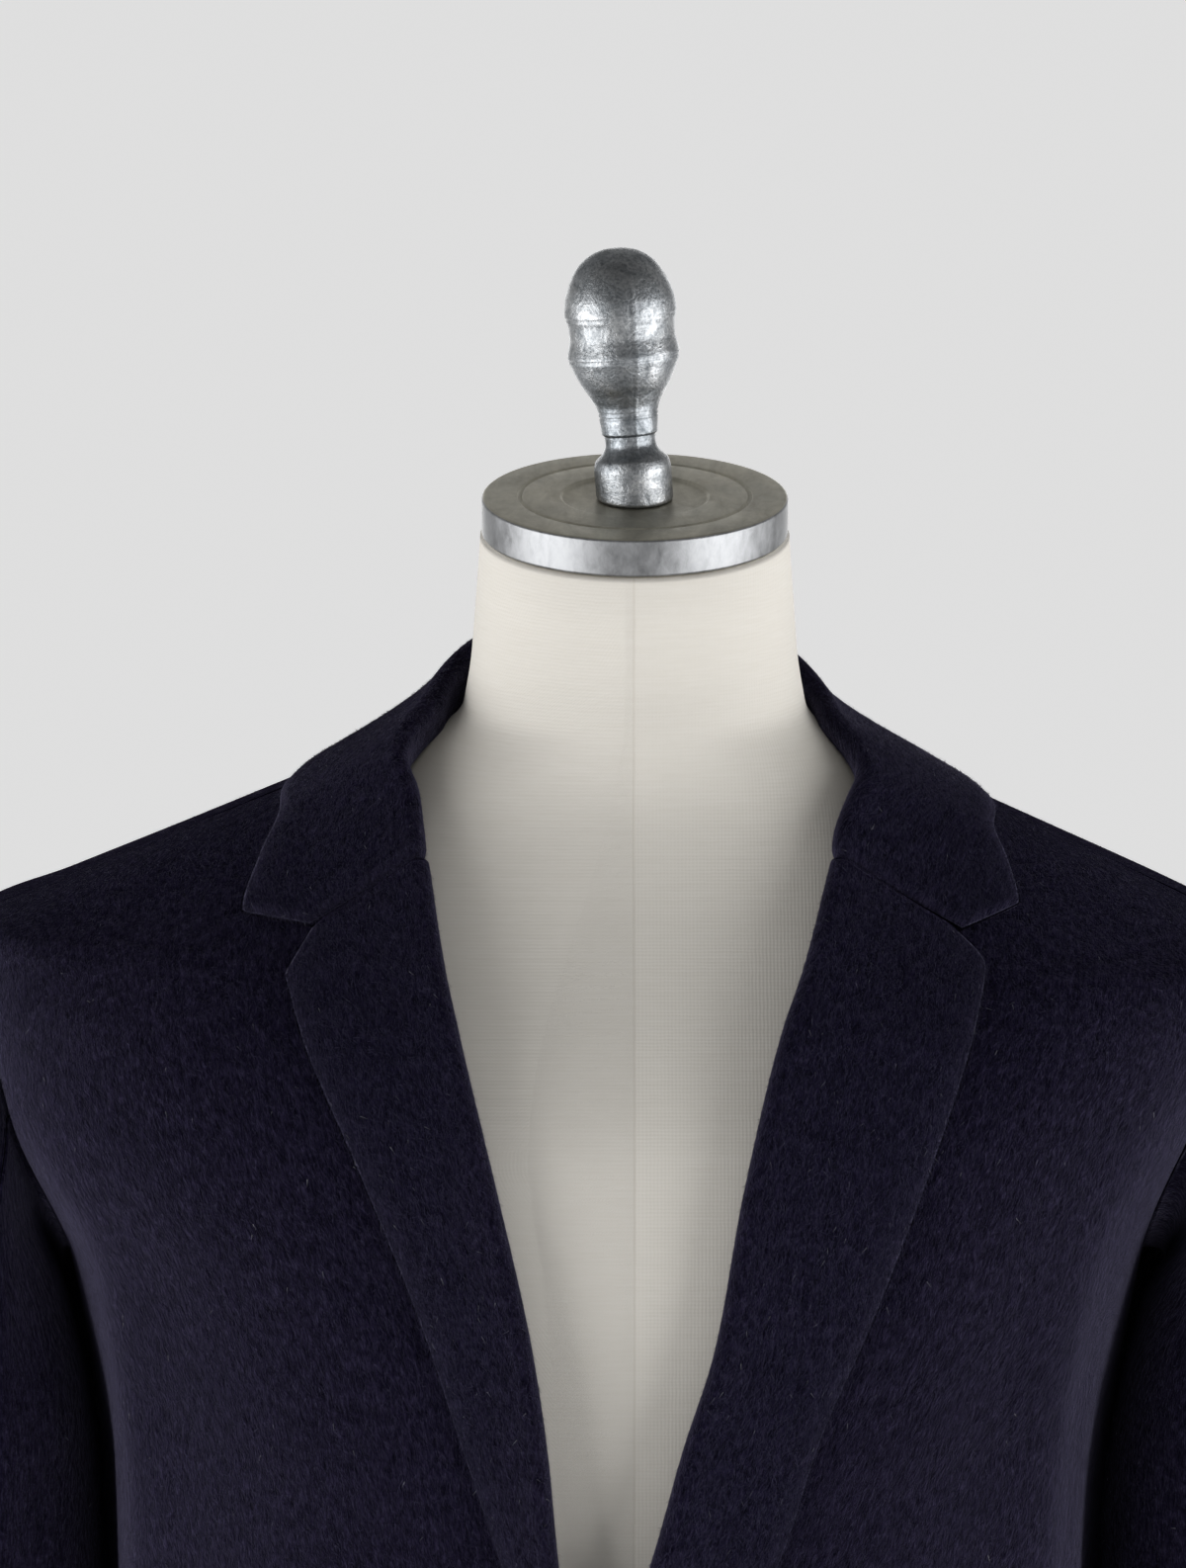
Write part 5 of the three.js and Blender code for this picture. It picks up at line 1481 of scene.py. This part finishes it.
# The panels light the coat and its form only, so that the floor stays even.
not_by_panels = bpy.data.collections.new("not_lit_by_panels")
not_by_panels.objects.link(floor)
not_by_panels.collection_objects[0].light_linking.link_state = "EXCLUDE"
for light in lights:
    light.light_linking.receiver_collection = not_by_panels

HORIZON_GLOW = 0.74
world = bpy.data.worlds.new("studio")
bpy.context.scene.world = world
world.use_nodes = True
sky = world.node_tree
direction = sky.nodes.new("ShaderNodeTexCoord").outputs["Generated"]
parts = sky.nodes.new("ShaderNodeSeparateXYZ")
sky.links.new(direction, parts.inputs[0])


def sky_range(axis, low, high, to_low, to_high):
    """Strength of the world's light that changes smoothly along one axis."""
    node = sky.nodes.new("ShaderNodeMapRange")
    node.interpolation_type = "SMOOTHSTEP"
    sky.links.new(parts.outputs[axis], node.inputs["Value"])
    for name, value in zip(("From Min", "From Max", "To Min", "To Max"), (low, high, to_low, to_high)):
        node.inputs[name].default_value = value
    return node.outputs[0]


strength = sky.nodes.new("ShaderNodeMath")
strength.operation = "MULTIPLY"
sky.links.new(sky_range("Y", -0.8, 0.7, 0.26, 0.4), strength.inputs[0])
sky.links.new(sky_range("Z", 0.5, 0.9, 1.0, 0.6), strength.inputs[1])
# Near the horizon the sky is as pale as the floor, so that no edge shows between them.
pale = sky.nodes.new("ShaderNodeMath")
pale.operation = "MAXIMUM"
sky.links.new(strength.outputs[0], pale.inputs[0])
sky.links.new(sky_range("Z", 0.06, 0.24, HORIZON_GLOW, 0), pale.inputs[1])
background = sky.nodes["Background"]
background.inputs["Color"].default_value = (1, 1, 1, 1)
sky.links.new(pale.outputs[0], background.inputs["Strength"])

# Camera: 2.3 m before the form's axis, looking down 10 degrees
camera_data = bpy.data.cameras.new("photo_camera")
camera_data.sensor_fit = "AUTO"
camera_data.sensor_width = 36
camera_data.lens = 136.8
camera = bpy.data.objects.new("photo_camera", camera_data)
camera.location = (-0.016, -2.26506, 1.81655)
camera.rotation_euler = (math.radians(80), 0, 0)
bpy.context.scene.collection.objects.link(camera)
bpy.context.scene.camera = camera
bpy.context.scene.view_settings.view_transform = "Standard"
bpy.context.scene.view_settings.look = "None"
